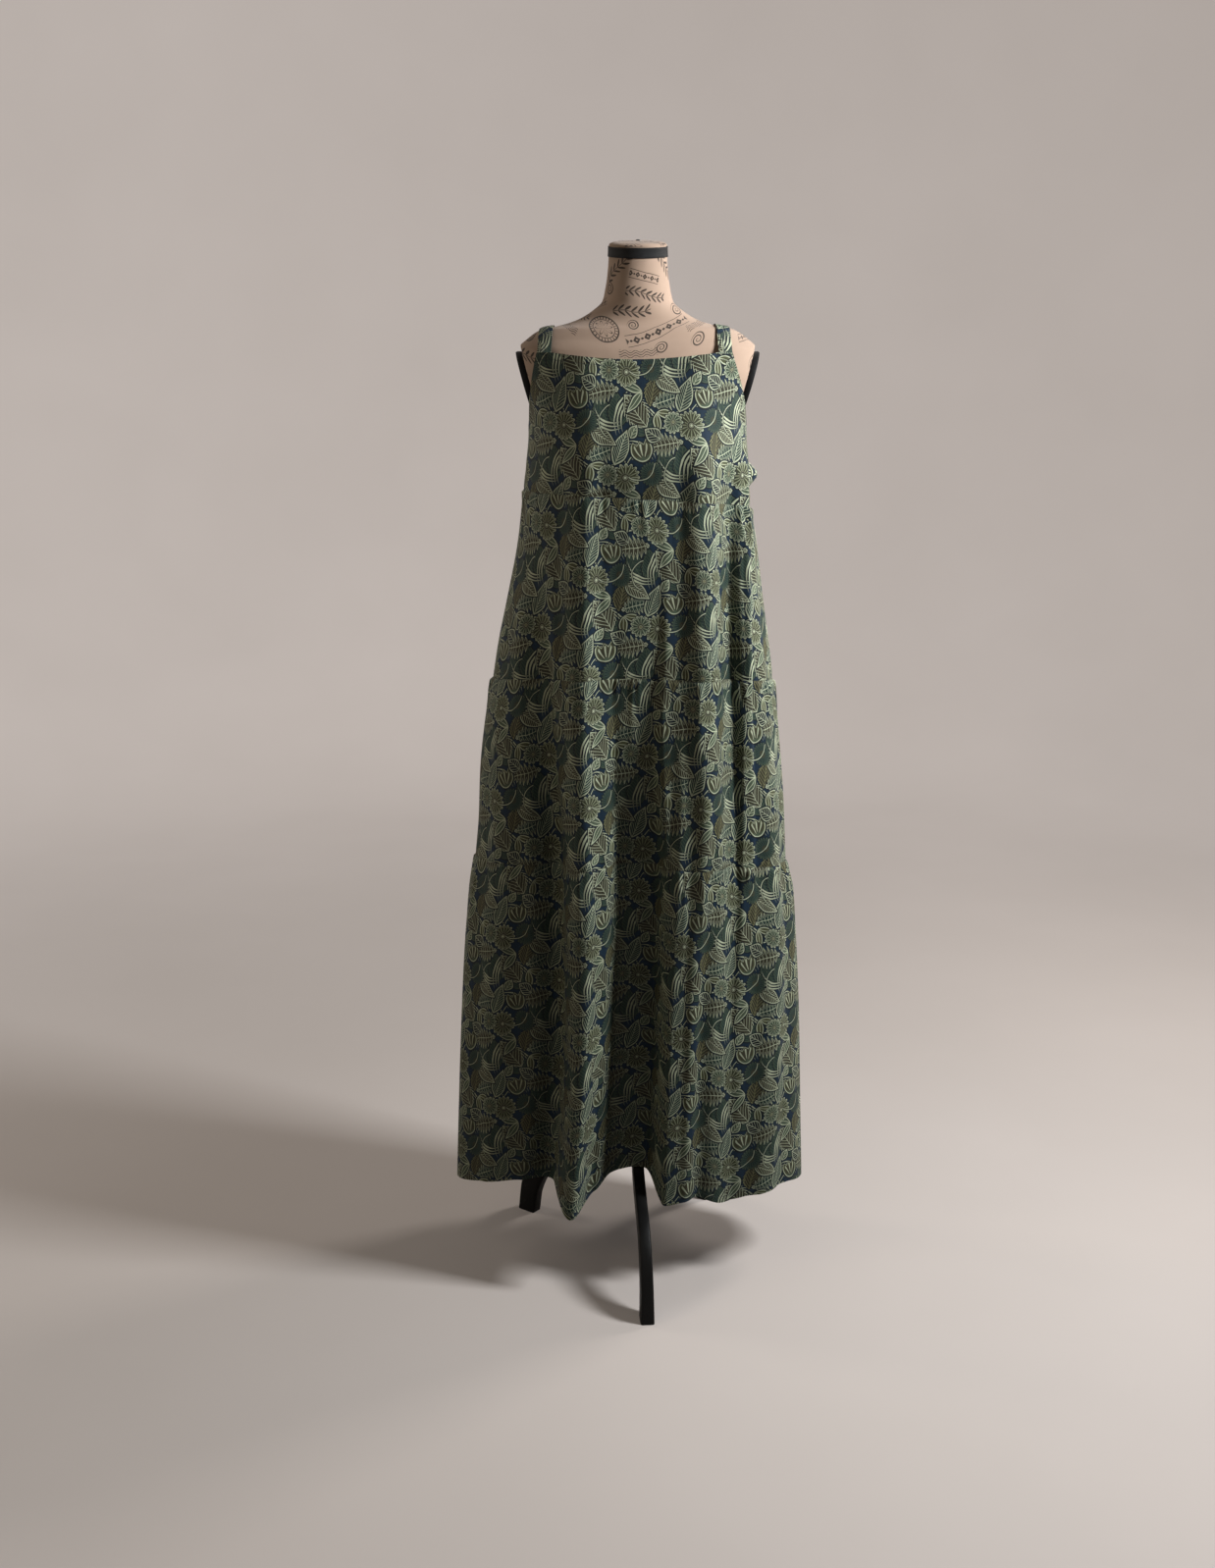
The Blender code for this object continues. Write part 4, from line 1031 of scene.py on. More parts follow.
def leg_piece(name, turn_degrees, material):
    """A curved board with rounded edges, from the hub down to its flat foot."""
    rows = np.arange(len(LEG_EDGES["upper_out"]))
    steps = np.linspace(0, rows[-1], LEG_RINGS_PER_ROW * rows[-1] + 1)
    edges = {column: smooth_curve(steps, rows, LEG_EDGES[column]) for column in LEG_EDGES}
    turn = math.radians(turn_degrees)
    corner = full_turn(LEG_SIDES)
    across = np.sign(np.cos(corner)) * np.abs(np.cos(corner)) ** (2 / LEG_SQUARE)
    upward = np.sign(np.sin(corner)) * np.abs(np.sin(corner)) ** (2 / LEG_SQUARE)
    rings = []
    for k, step in enumerate(steps):
        flare = (step / rows[-1]) ** LEG_FLARE_POWER
        half = (LEG_THICKNESS + (FOOT_THICKNESS - LEG_THICKNESS) * flare) / 2
        upper = np.array([edges["upper_out"][k], edges["upper_height"][k]])
        lower = np.array([edges["lower_out"][k], edges["lower_height"][k]])
        middle = (upper + lower) / 2
        out = middle[0] + upward * (upper[0] - lower[0]) / 2
        z = middle[1] + upward * (upper[1] - lower[1]) / 2
        x = across * half * math.cos(turn) + out * math.sin(turn)
        y = across * half * math.sin(turn) - out * math.cos(turn)
        rings.append(np.stack([x, y, z], axis=-1))
    piece = make_piece(f"board_{name}", rings, capped_tube(rings), material)
    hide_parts(name)


# Material nodes written as sums

PRINT_BLUR = 0.00035


class Wire:
    """A number in a material's node tree, so that a pattern reads as ordinary sums."""

    def __init__(self, tree, socket):
        self.tree = tree
        self.socket = socket

    def __add__(self, other):
        return calculate("ADD", self, other)

    def __sub__(self, other):
        return calculate("SUBTRACT", self, other)

    def __mul__(self, other):
        return calculate("MULTIPLY", self, other)


def connect(tree, value, socket):
    """Links a wire or a socket to an input, or sets the input to a plain value."""
    if isinstance(value, Wire):
        tree.links.new(value.socket, socket)
    elif isinstance(value, bpy.types.NodeSocket):
        tree.links.new(value, socket)
    else:
        socket.default_value = value


def feed(tree, node, inputs):
    """Links or sets inputs of a node, each by its name or number."""
    for name, value in inputs.items():
        connect(tree, value, node.inputs[name])


def add_node(tree, kind, inputs, operation=None):
    """A new shader node with its inputs fed."""
    node = tree.nodes.new(f"ShaderNode{kind}")
    if operation:
        node.operation = operation
    feed(tree, node, inputs)
    return node


def calculate(operation, *values):
    """A sum of numbers, the first of them a wire."""
    tree = values[0].tree
    return Wire(tree, add_node(tree, "Math", dict(enumerate(values)), operation).outputs[0])


def times_plus(value, factor, extra):
    """The value times a factor, and something added."""
    return calculate("MULTIPLY_ADD", value, factor, extra)


def size_of(value):
    """The value without its sign."""
    return calculate("ABSOLUTE", value)


def folded(value, reach):
    """The value wrapped to lie between minus reach and reach."""
    return calculate("WRAP", value, reach, -reach)


def inside(distance, edge=0.0, blur=PRINT_BLUR):
    """1 where the distance is under the edge and 0 over it, with a short soft step."""
    limits = {"From Min": edge - blur, "From Max": edge + blur, "To Min": 1.0, "To Max": 0.0}
    node = add_node(distance.tree, "MapRange", {"Value": distance, **limits})
    node.interpolation_type = "SMOOTHSTEP"
    return Wire(distance.tree, node.outputs["Result"])


def near(value, reach, blur=PRINT_BLUR):
    """1 where the value is within reach of 0."""
    return inside(size_of(value), reach, blur)


def beyond(value, edge, blur=PRINT_BLUR):
    """1 where the value is over the edge."""
    return inside(value * -1, -edge, blur)


def mix_colour(tree, share, under, over):
    """The under colour, covered by the over colour by a share: sockets or RGB values."""
    node = tree.nodes.new("ShaderNodeMix")
    node.data_type = "RGBA"
    connect(tree, share, node.inputs[0])
    for socket, colour in ((node.inputs[6], under), (node.inputs[7], over)):
        connect(tree, (*colour, 1) if isinstance(colour, tuple) else colour, socket)
    return node.outputs[2]


def noise(tree, vector, scale, detail=2.0, roughness=0.5):
    """A noise texture's node."""
    inputs = {"Vector": vector, "Scale": scale, "Detail": detail, "Roughness": roughness}
    return add_node(tree, "TexNoise", inputs)


def noise_value(tree, vector, scale, detail=2.0, roughness=0.5):
    """A noise texture as a number."""
    return Wire(tree, noise(tree, vector, scale, detail, roughness).outputs["Fac"])


def vector_math(tree, operation, first, second):
    """A sum of two vectors, as a socket."""
    return add_node(tree, "VectorMath", {0: first, 1: second}, operation).outputs["Vector"]


def wobbled(tree, plane, scale, reach):
    """A plane whose coordinates wander a little, as a hand-drawn print's outlines do."""
    wander = noise(tree, plane, scale, 1.0).outputs["Color"]
    centred = vector_math(tree, "SUBTRACT", wander, (0.5, 0.5, 0.5))
    bent = vector_math(tree, "MULTIPLY", centred, (reach, reach, 0.0))
    return vector_math(tree, "ADD", plane, bent)


def plane_of(tree, layer):
    """A UV layer's coordinates, in metres."""
    node = tree.nodes.new("ShaderNodeUVMap")
    node.uv_map = layer
    return node.outputs["UV"]


def place_of(tree):
    """A point's place on its object."""
    return tree.nodes.new("ShaderNodeTexCoord").outputs["Object"]


def split(tree, vector):
    """The x and y of a vector."""
    node = add_node(tree, "SeparateXYZ", {0: vector})
    return Wire(tree, node.outputs["X"]), Wire(tree, node.outputs["Y"])


def brighten(tree, colour, factor):
    """A colour multiplied by a number."""
    return add_node(tree, "VectorMath", {0: colour, "Scale": factor}, "SCALE").outputs["Vector"]


def bump(tree, height, depth, under=None):
    """A bump of a real depth in metres, on top of another if one is given."""
    node = add_node(tree, "Bump", {"Strength": 1.0, "Distance": depth, "Height": height})
    if under is not None:
        connect(tree, under, node.inputs["Normal"])
    return node.outputs["Normal"]


def plain_weave(tree, plane, pitch):
    """Height of crossing threads, 0 to 1."""
    u, v = split(tree, plane)
    warp = calculate("SINE", u * (math.pi / pitch))
    weft = calculate("SINE", v * (math.pi / pitch))
    return size_of(warp) * 0.5 + size_of(weft) * 0.5


def new_material(name):
    """A material with its node tree and its shader."""
    material = bpy.data.materials.new(name)
    material.use_nodes = True
    tree = material.node_tree
    return material, tree, tree.nodes["Principled BSDF"]


# Flower print: every motif repeats in a half-drop lattice, each column half a step lower

PRINT_WIDTH = 0.104
PRINT_HEIGHT = 0.152
NAVY = (0.0045, 0.017, 0.034)
SHADOW = (0.004, 0.008, 0.010)
OLIVE = (0.064, 0.068, 0.031)
SAGE = (0.062, 0.084, 0.052)
TEAL = (0.018, 0.036, 0.029)
BROWN = (0.034, 0.032, 0.018)
STRAW = (0.21, 0.20, 0.095)
PALE = (0.47, 0.50, 0.345)
THREAD = (0.030, 0.040, 0.045)
HEM_WIDTH = 0.0105
STITCH_PITCH = 0.0016
STITCH_LENGTH = 0.0011
STITCH_WIDTH = 0.0005
STITCH_BLUR = 0.0002
CLOTH_WEAVE = (0.00045, 0.00006)


class Painter:
    """Lays motifs one over another on the cloth's plane."""

    def __init__(self, tree, plane, width, height, ground):
        self.tree = tree
        self.plane = plane
        self.width = width
        self.height = height
        self.colour = ground

    def place(self, across, up, turn_degrees=0.0):
        """Local coordinates of a motif at a place of the repeat, turned by some degrees."""
        moved = vector_math(self.tree, "SUBTRACT", self.plane, (across, up, 0))
        x, y = split(self.tree, moved)
        near_x = folded(x, self.width / 2)
        columns = x - near_x
        lowered = times_plus(columns, self.height / (2 * self.width), y)
        near_y = folded(lowered, self.height / 2)
        turn = math.radians(turn_degrees)
        right = times_plus(near_x, math.cos(turn), near_y * math.sin(turn))
        ahead = times_plus(near_y, math.cos(turn), near_x * -math.sin(turn))
        return right, ahead

    def lay(self, share, colour):
        """Covers what lies below by a share of a colour."""
        self.colour = mix_colour(self.tree, share, self.colour, colour)

    def lay_shape(self, distance, fill, line, halo=0.0019, line_width=0.0012, shade=SHADOW):
        """A filled shape with an outline, and a dark halo that parts it from what lies under it."""
        self.lay(inside(distance, halo), shade)
        self.lay(inside(distance, 0.0), line)
        body = inside(distance, -line_width)
        self.lay(body, fill)
        return body


def radius_of(x, y):
    """Distance from a motif's middle."""
    return calculate("SQRT", times_plus(x, x, y * y))


def angle_of(x, y):
    """Angle round a motif's middle."""
    return calculate("ARCTAN2", y, x)


def daisy(paint, spot, reach, petals, fill, line, eye):
    """A round flower with narrow petals, a ringed middle and an eye."""
    x, y = paint.place(*spot)
    away = radius_of(x, y)
    lobes = size_of(calculate("COSINE", angle_of(x, y) * (petals / 2)))
    distance = away - times_plus(lobes, 0.24 * reach, 0.78 * reach)
    body = paint.lay_shape(distance, fill, line)
    rays = inside(lobes, 0.30, 0.18) * beyond(away, 0.36 * reach)
    paint.lay(rays * body * 0.9, SHADOW)
    ribs = beyond(lobes, 0.955, 0.03) * beyond(away, 0.34 * reach)
    paint.lay(ribs * body * 0.6, line)
    paint.lay(inside(away, 0.33 * reach), BROWN)
    rings = size_of(folded(away, 0.075 * reach))
    paint.lay(inside(rings, 0.0004) * inside(away, 0.30 * reach) * 0.6, line)
    paint.lay(inside(away, 0.09 * reach), eye)


def leaf_distance(x, y, length, width, tooth=0.0, pitch=0.006):
    """Roughly the distance outside a pointed leaf that lies along x, its tip at +x."""
    along = x * (2 / length)
    belly = times_plus(along * along, -1.0, 1.0)
    half = belly * times_plus(along, -0.16 * width, 0.5 * width)
    if tooth:
        saw = calculate("WRAP", times_plus(size_of(y), 0.55, x), pitch, 0.0)
        within = calculate("MAXIMUM", belly, 0.0)
        half = half + times_plus(saw, -tooth / pitch, tooth * 0.6) * within
    side = size_of(y)
    return calculate("MAXIMUM", side - half, size_of(x) - length / 2) * 0.82


def leaf(paint, spot, length, width, fill, line, tooth=0.0, pitch=0.006, vein=0.0006):
    """A pointed leaf with side veins, toothed where a tooth's height is given."""
    x, y = paint.place(*spot)
    body = paint.lay_shape(leaf_distance(x, y, length, width, tooth, pitch), fill, line)
    side = size_of(y)
    ribs = size_of(folded(times_plus(side, -1.25, x), pitch / 2))
    veins = calculate("MAXIMUM", inside(ribs, vein), inside(side, 0.0005))
    paint.lay(veins * body * 0.85, line)


def twin_leaves(paint, spot, length, width, spread_degrees, fill, line):
    """Two plain leaves that spread from one point."""
    x, y = paint.place(*spot)
    side = size_of(y)
    spread = math.radians(spread_degrees)
    along = times_plus(x, math.cos(spread), side * math.sin(spread)) - length * 0.52
    across = times_plus(side, math.cos(spread), x * -math.sin(spread))
    body = paint.lay_shape(leaf_distance(along, across, length, width), fill, line)
    paint.lay(near(across, 0.00045) * body, line)


def comb_leaf(paint, spot, length, width, fill, line):
    """A leaf with a hump of long teeth on both sides and an arch drawn over it."""
    x, y = paint.place(*spot)
    arch = size_of(radius_of(x, y + width * 0.30) - width * 0.98)
    above = beyond(y, 0.12 * width)
    paint.lay(inside(arch, 0.0020) * above, SHADOW)
    paint.lay(inside(arch, 0.0009) * above, line)
    pitch = length / 8.5
    finger = size_of(folded(times_plus(size_of(y), 0.25, x), pitch / 2)) * (2 / pitch)
    along = x * (2 / length)
    belly = times_plus(along * along, -0.5 * width, 0.5 * width)
    half = belly * times_plus(finger, -0.62, 1.0)
    distance = calculate("MAXIMUM", size_of(y) - half, size_of(x) - length / 2) * 0.75
    body = paint.lay_shape(distance, fill, line, line_width=0.0009)
    paint.lay(beyond(size_of(y), 0.30 * width, 0.0015) * body * 0.8, STRAW)
    paint.lay(near(y, 0.0005) * body, line)
    paint.lay(inside(finger, 0.14, 0.10) * body * 0.8, line)


def cup(paint, spot, width, height, fill, line):
    """A cup-shaped flower with a jagged rim and lines that rise from its base."""
    x, y = paint.place(*spot)
    bowl = radius_of(x * (2 / width), y * (1 / height)) - 1.0
    jag = size_of(folded(x, width / 6))
    rim = times_plus(jag, 1.1, y) - height * 0.62
    distance = calculate("MAXIMUM", bowl * (height * 0.6), rim)
    body = paint.lay_shape(distance, fill, line, line_width=0.0010)
    paint.lay(inside(distance, -0.0026) * 0.85, BROWN)
    rising = size_of(calculate("SINE", angle_of(y + height * 1.05, x) * 8.0))
    paint.lay(inside(rising, 0.42, 0.20) * inside(distance, -0.0036) * 0.9, line)
    sepal = size_of(folded(x, width / 8)) * 1.2 + y + height * 0.52
    paint.lay(inside(sepal, 0.0) * body, SAGE)


def sweep(paint, spot, radius, pitch, reach_degrees, line):
    """A sheaf of three curved blades that run out to points."""
    x, y = paint.place(*spot)
    angle = angle_of(x, y)
    reach = math.radians(reach_degrees)
    away = radius_of(x, y) - radius
    taper = calculate("MAXIMUM", times_plus(size_of(angle), -1 / reach, 1.0), 0.0)
    blade = size_of(folded(away, pitch / 2))
    within = near(away, pitch * 1.5)
    for grow, colour in ((2.6, SHADOW), (1.0, line)):
        edge = taper * (0.0015 * grow)
        paint.lay(inside(blade - edge, 0.0) * within * beyond(taper, 0.02, 0.02), colour)


def stem(paint, spot, radius, reach_degrees, line):
    """A thin stalk along part of a circle."""
    x, y = paint.place(*spot)
    away = size_of(radius_of(x, y) - radius)
    part = near(angle_of(x, y), math.radians(reach_degrees), 0.03)
    paint.lay(inside(away, 0.0016) * part, SHADOW)
    paint.lay(inside(away, 0.0006) * part, line)


def flower_print(tree, plane):
    """The printed colour of the cloth: leaves and flowers close together on a navy ground."""
    drawn = wobbled(tree, plane, 34.0, 0.006)
    paint = Painter(tree, drawn, PRINT_WIDTH, PRINT_HEIGHT, NAVY)
    stem(paint, (0.052, 0.036, 150), 0.034, 75, PALE)
    stem(paint, (0.030, 0.098, -20), 0.040, 70, PALE)
    stem(paint, (0.094, 0.120, 60), 0.030, 80, PALE)
    leaf(paint, (0.087, 0.046, -58), 0.052, 0.027, TEAL, SAGE, tooth=0.0030, pitch=0.0065)
    leaf(paint, (0.054, 0.106, 20), 0.052, 0.026, TEAL, SAGE, pitch=0.0055)
    leaf(paint, (0.006, 0.128, 96), 0.054, 0.030, TEAL, SAGE, tooth=0.0030, pitch=0.0065)
    leaf(paint, (0.064, 0.004, 78), 0.046, 0.026, BROWN, STRAW, tooth=0.0034, pitch=0.0062)
    sweep(paint, (0.052, 0.112, 158), 0.046, 0.0052, 46, PALE)
    leaf(paint, (0.035, 0.127, 128), 0.060, 0.036, BROWN, PALE, tooth=0.0060, pitch=0.0075)
    comb_leaf(paint, (0.083, 0.078, 10), 0.056, 0.038, BROWN, PALE)
    comb_leaf(paint, (0.087, 0.142, 196), 0.050, 0.034, TEAL, PALE)
    leaf(paint, (0.012, 0.074, 70), 0.054, 0.025, TEAL, PALE, pitch=0.0052)
    leaf(paint, (0.088, 0.013, -30), 0.048, 0.022, BROWN, PALE, pitch=0.0050)
    twin_leaves(paint, (0.046, 0.002, 196), 0.038, 0.013, 34, SAGE, PALE)
    twin_leaves(paint, (0.068, 0.126, -48), 0.034, 0.012, 38, OLIVE, PALE)
    sweep(paint, (0.030, 0.046, 62), 0.034, 0.0046, 44, PALE)
    sweep(paint, (0.104, 0.066, -118), 0.038, 0.0046, 46, PALE)
    daisy(paint, (0.060, 0.036), 0.0180, 22, TEAL, SAGE, STRAW)
    daisy(paint, (0.020, 0.030), 0.0215, 16, OLIVE, PALE, PALE)
    daisy(paint, (0.096, 0.110), 0.0160, 13, SAGE, PALE, STRAW)
    cup(paint, (0.044, 0.073, 14), 0.033, 0.0190, OLIVE, PALE)
    stem(paint, (0.040, 0.052, -64), 0.026, 62, PALE)
    stem(paint, (0.000, 0.112, 176), 0.024, 70, PALE)
    leaf(paint, (0.062, 0.093, 150), 0.028, 0.022, SHADOW, PALE)
    leaf(paint, (0.032, 0.098, 60), 0.022, 0.015, SAGE, PALE)
    return paint.colour


def cloth_material():
    """Light woven cloth with the flower print, stitched free edges, and painted shade just below
    each tier's upper seam.
    """
    material, tree, shader = new_material("dress_cloth_print")
    plane = plane_of(tree, "cut")
    cloud = noise_value(tree, plane, 9.0, 3.0)
    fleck = noise_value(tree, plane, 520.0, 3.0)
    shade = times_plus(cloud, 0.40, 0.52) + fleck * 0.60
    colour = brighten(tree, flower_print(tree, plane), shade)
    from_top, from_edge = split(tree, plane_of(tree, "edges"))
    # Painted shade: the cloth is up to a quarter darker in the first millimetre or two below each
    # tier's upper seam
    colour = brighten(tree, colour, times_plus(inside(from_top, 0.0012, 0.0010), -0.25, 1.0))
    u, v = split(tree, plane)
    dash = near(folded(u + v, STITCH_PITCH), STITCH_LENGTH, STITCH_BLUR)
    stitch_line = near(from_edge - HEM_WIDTH, STITCH_WIDTH, STITCH_BLUR)
    thread = stitch_line * dash
    colour = mix_colour(tree, thread * 0.7, colour, THREAD)
    stretched = vector_math(tree, "MULTIPLY", plane, (1.0, 0.30, 1.0))
    normal = bump(tree, noise_value(tree, stretched, 60.0, 3.0, 0.55), 0.0016)
    turned = inside(from_edge, HEM_WIDTH, 0.0012) - thread * 0.8 - stitch_line * 0.5
    normal = bump(tree, turned, 0.0004, normal)
    pitch, depth = CLOTH_WEAVE
    normal = bump(tree, plain_weave(tree, plane, pitch), depth, normal)
    sheen = {"Sheen Weight": 0.03, "Sheen Roughness": 0.45}
    finish = {"Roughness": 0.74, "Specular IOR Level": 0.20, **sheen}
    feed(tree, shader, {"Base Color": colour, "Normal": normal, **finish})
    return material


# Cover of the form: cream jersey with a brown ornament of rings, lozenges, waves and curls

COVER_WIDTH = 0.34
COVER_HEIGHT = 0.30
COVER_KNIT = (0.0006, 0.00012)
CREAM = (0.412, 0.287, 0.209)
INK = (0.030, 0.019, 0.013)


def rosette_ring(paint, spot, radius):
    """Two rings with a star of petals inside."""
    x, y = paint.place(*spot)
    away = radius_of(x, y)
    paint.lay(near(away - radius, 0.0011), INK)
    paint.lay(near(away - radius * 0.74, 0.0006), INK)
    angle = angle_of(x, y)
    petals = size_of(calculate("SINE", angle * 4.0)) * (radius * 0.60)
    paint.lay(near(away - petals, 0.0010), INK)
    ticks = size_of(calculate("SINE", angle * 13.0))
    between = near(away - radius * 0.87, radius * 0.08)
    paint.lay(inside(ticks, 0.45, 0.20) * between, INK)


def lozenge_row(paint, spot, length, height, pitch):
    """A straight row of lozenges with dots between them and a thin line on each side."""
    x, y = paint.place(*spot)
    within = near(x, length / 2, 0.001)
    wave = size_of(folded(x, pitch / 2))
    body = times_plus(wave, 2.6 * height / pitch, size_of(y)) - height * 0.85
    paint.lay(inside(body, 0.0) * within, INK)
    paint.lay(inside(body, -height * 0.64) * within, CREAM)
    dots = radius_of(folded(x + pitch / 2, pitch / 2), y)
    paint.lay(inside(dots, height * 0.26) * within, INK)
    rails = size_of(size_of(y) - height * 1.25)
    paint.lay(inside(rails, 0.0005) * within, INK)


def waves(paint, spot, length, lines, pitch, swing):
    """A few wavy lines side by side."""
    x, y = paint.place(*spot)
    within = near(x, length / 2, 0.001) * near(y, lines * pitch / 2, 0.0003)
    curve = times_plus(calculate("SINE", x * (2 * math.pi / 0.016)), swing, y)
    paint.lay(near(folded(curve, pitch / 2), 0.0006) * within, INK)


def curl(paint, spot, radius):
    """A flourish: a spiral that thins towards its middle."""
    x, y = paint.place(*spot)
    away = radius_of(x, y)
    pitch = radius / 2.3
    turned = times_plus(angle_of(x, y), -pitch / (2 * math.pi), away)
    line = size_of(folded(turned, pitch / 2)) - away * 0.075
    paint.lay(inside(line, 0.0004) * inside(away, radius, 0.0006), INK)


def sprig(paint, spot, length, leaf_size=0.0021):
    """A thin stalk with small leaves in pairs."""
    x, y = paint.place(*spot)
    within = near(x, length / 2, 0.001)
    bend = times_plus(calculate("SINE", x * (math.pi / length * 2)), 0.0022, y)
    paint.lay(near(bend, 0.0005) * within, INK)
    side = size_of(bend)
    ahead = folded(times_plus(side, -1.1, x), leaf_size * 2.1)
    lobe = radius_of(ahead, (side - leaf_size * 1.9) * 0.58) - leaf_size
    paint.lay(inside(lobe, 0.0, 0.0004) * within, INK)


def cover_print(tree, plane):
    """The colour of the form's cover: brown ornament on cream."""
    drawn = wobbled(tree, plane, 60.0, 0.002)
    paint = Painter(tree, drawn, COVER_WIDTH, COVER_HEIGHT, CREAM)
    rosette_ring(paint, (-0.052, 0.668), 0.023)
    rosette_ring(paint, (0.118, 0.545), 0.021)
    lozenge_row(paint, (0.030, 0.668, 17), 0.100, 0.0080, 0.0170)
    lozenge_row(paint, (0.010, 0.757, -14), 0.048, 0.0050, 0.0112)
    lozenge_row(paint, (-0.086, 0.706, 24), 0.066, 0.0042, 0.0090)
    lozenge_row(paint, (0.126, 0.700, -26), 0.080, 0.0044, 0.0096)
    waves(paint, (0.100, 0.662, 12), 0.054, 4, 0.0040, 0.0018)
    waves(paint, (-0.122, 0.650, -18), 0.060, 4, 0.0038, 0.0018)
    waves(paint, (0.000, 0.634, 4), 0.058, 3, 0.0040, 0.0019)
    sprig(paint, (0.012, 0.731, -10), 0.064)
    sprig(paint, (-0.034, 0.770, 44), 0.060, 0.0024)
    sprig(paint, (0.046, 0.776, -40), 0.060, 0.0024)
    sprig(paint, (-0.010, 0.706, 6), 0.058, 0.0024)
    sprig(paint, (-0.104, 0.680, 12), 0.050)
    curl(paint, (0.066, 0.703), 0.0125)
    curl(paint, (-0.008, 0.684), 0.0090)
    curl(paint, (0.034, 0.640), 0.0100)
    curl(paint, (-0.150, 0.700), 0.0135)
    curl(paint, (0.090, 0.632), 0.0110)
    curl(paint, (-0.052, 0.738), 0.0100)
    rosette_ring(paint, (0.154, 0.752), 0.0165)
    lozenge_row(paint, (-0.150, 0.742, -12), 0.060, 0.0042, 0.0100)
    sprig(paint, (0.160, 0.716, 14), 0.056, 0.0024)
    waves(paint, (0.120, 0.781, -6), 0.046, 3, 0.0036, 0.0016)
    curl(paint, (0.100, 0.748), 0.0095)
    return paint.colour


def cover_material():
    """Cream jersey, its ornament a little faded, with a fine knit."""
    material, tree, shader = new_material("form_cover_print")
    plane = plane_of(tree, "cover")
    ink_share = times_plus(noise_value(tree, plane, 110.0, 3.0), 0.3, 0.80)
    colour = mix_colour(tree, ink_share, CREAM, cover_print(tree, plane))
    cloud = noise_value(tree, plane, 14.0, 3.0)
    colour = brighten(tree, colour, times_plus(cloud, 0.24, 0.86))
    normal = bump(tree, cloud, 0.0012)
    pitch, depth = COVER_KNIT
    normal = bump(tree, plain_weave(tree, plane, pitch), depth, normal)
    finish = {"Roughness": 0.88, "Specular IOR Level": 0.3, "Sheen Weight": 0.15}
    feed(tree, shader, {"Base Color": colour, "Normal": normal, **finish})
    return material


def tape_material():
    """Dull black ribbon with fine upright ribs."""
    material, tree, shader = new_material("black_ribbon")
    place = place_of(tree)
    lint = noise_value(tree, place, 420.0, 3.0)
    colour = mix_colour(tree, lint * 0.6, (0.0035, 0.0035, 0.004), (0.014, 0.0135, 0.013))
    x, y = split(tree, vector_math(tree, "SUBTRACT", place, tuple(AXIS)))
    ribs = size_of(calculate("SINE", angle_of(x, y) * 170.0))
    normal = bump(tree, ribs + lint, 0.00012)
    finish = {"Roughness": 0.62, "Specular IOR Level": 0.12, "Sheen Weight": 0.04}
    feed(tree, shader, {"Base Color": colour, "Normal": normal, **finish})
    return material


def paint_material():
    """Black satin paint over wood: faint long grain and a little wear."""
    material, tree, shader = new_material("black_satin_paint")
    place = place_of(tree)
    stretched = vector_math(tree, "MULTIPLY", place, (1.0, 1.0, 0.12))
    grain = noise_value(tree, stretched, 240.0, 4.0)
    worn = noise_value(tree, place, 55.0, 4.0, 0.65)
    scuff = beyond(worn, 0.66, 0.05)
    colour = mix_colour(tree, scuff * 0.6, (0.0045, 0.0045, 0.0042), (0.022, 0.019, 0.016))
    finish = {"Roughness": times_plus(worn, 0.30, 0.30), "Specular IOR Level": 0.12}
    feed(tree, shader, {"Base Color": colour, "Normal": bump(tree, grain, 0.00025), **finish})
    return material


def floor_material():
    """Pale studio paper with the faintest mottle. It glows a little far out, so it stays pale."""
    material, tree, shader = new_material("studio_paper")
    place = place_of(tree)
    mottle = noise_value(tree, place, 1.6, 4.0)
    colour = mix_colour(tree, mottle, (0.50, 0.445, 0.41), (0.56, 0.50, 0.465))
    x, y = split(tree, place)
    glow = times_plus(beyond(radius_of(x, y), 2.3, 1.7), 0.62, 0.08)
    paper = {"Base Color": colour, "Roughness": 0.92}
    feed(tree, shader, {**paper, "Emission Color": colour, "Emission Strength": glow})
    return material


# Stage, lights and camera

STAGE_INNER = 1.5
STAGE_FLAT = 3.1
STAGE_CURVE = 1.3
STAGE_CURVE_STEPS = 12
STAGE_TOP = 9.0
STAGE_SINK = 0.0002
STAGE_SIDES = 96
LIGHT_COLUMNS = ("place", "aim", "energy", "size", "colour")
LIGHTS = {
    "key_right": ((1.45, -0.50, 2.10), (0.12, 0, 1.20), 59, (0.35, 0.7), (0.93, 0.97, 1.0)),
    "fill_high": ((-0.9, -1.5, 3.0), (0, 0, 1.4), 2.2, (0.8, 0.8), (1.0, 0.92, 0.80)),
    "side_left": ((-2.0, -1.0, 1.7), (0, 0, 1.0), 5, (0.6, 1.2), (1.0, 0.86, 0.66)),
    "back_left": ((-1.90, 0.75, 1.90), (0, 0, 0.95), 7, (0.4, 0.9), (1.0, 0.93, 0.84)),
    "back_right": ((1.85, 1.15, 2.00), (0, 0.15, 0.95), 24, (0.5, 0.9), (1.0, 0.95, 0.90)),
}
WORLD_COLOUR = (1.0, 0.93, 0.87, 1)
WORLD_STRENGTH = 0.04
CAMERA_PLACE = (-0.046, -2.756, 1.50)
CAMERA_DOWN_DEGREES = 13.68
CAMERA_LENS = 40.0
SENSOR_HEIGHT = 36.0


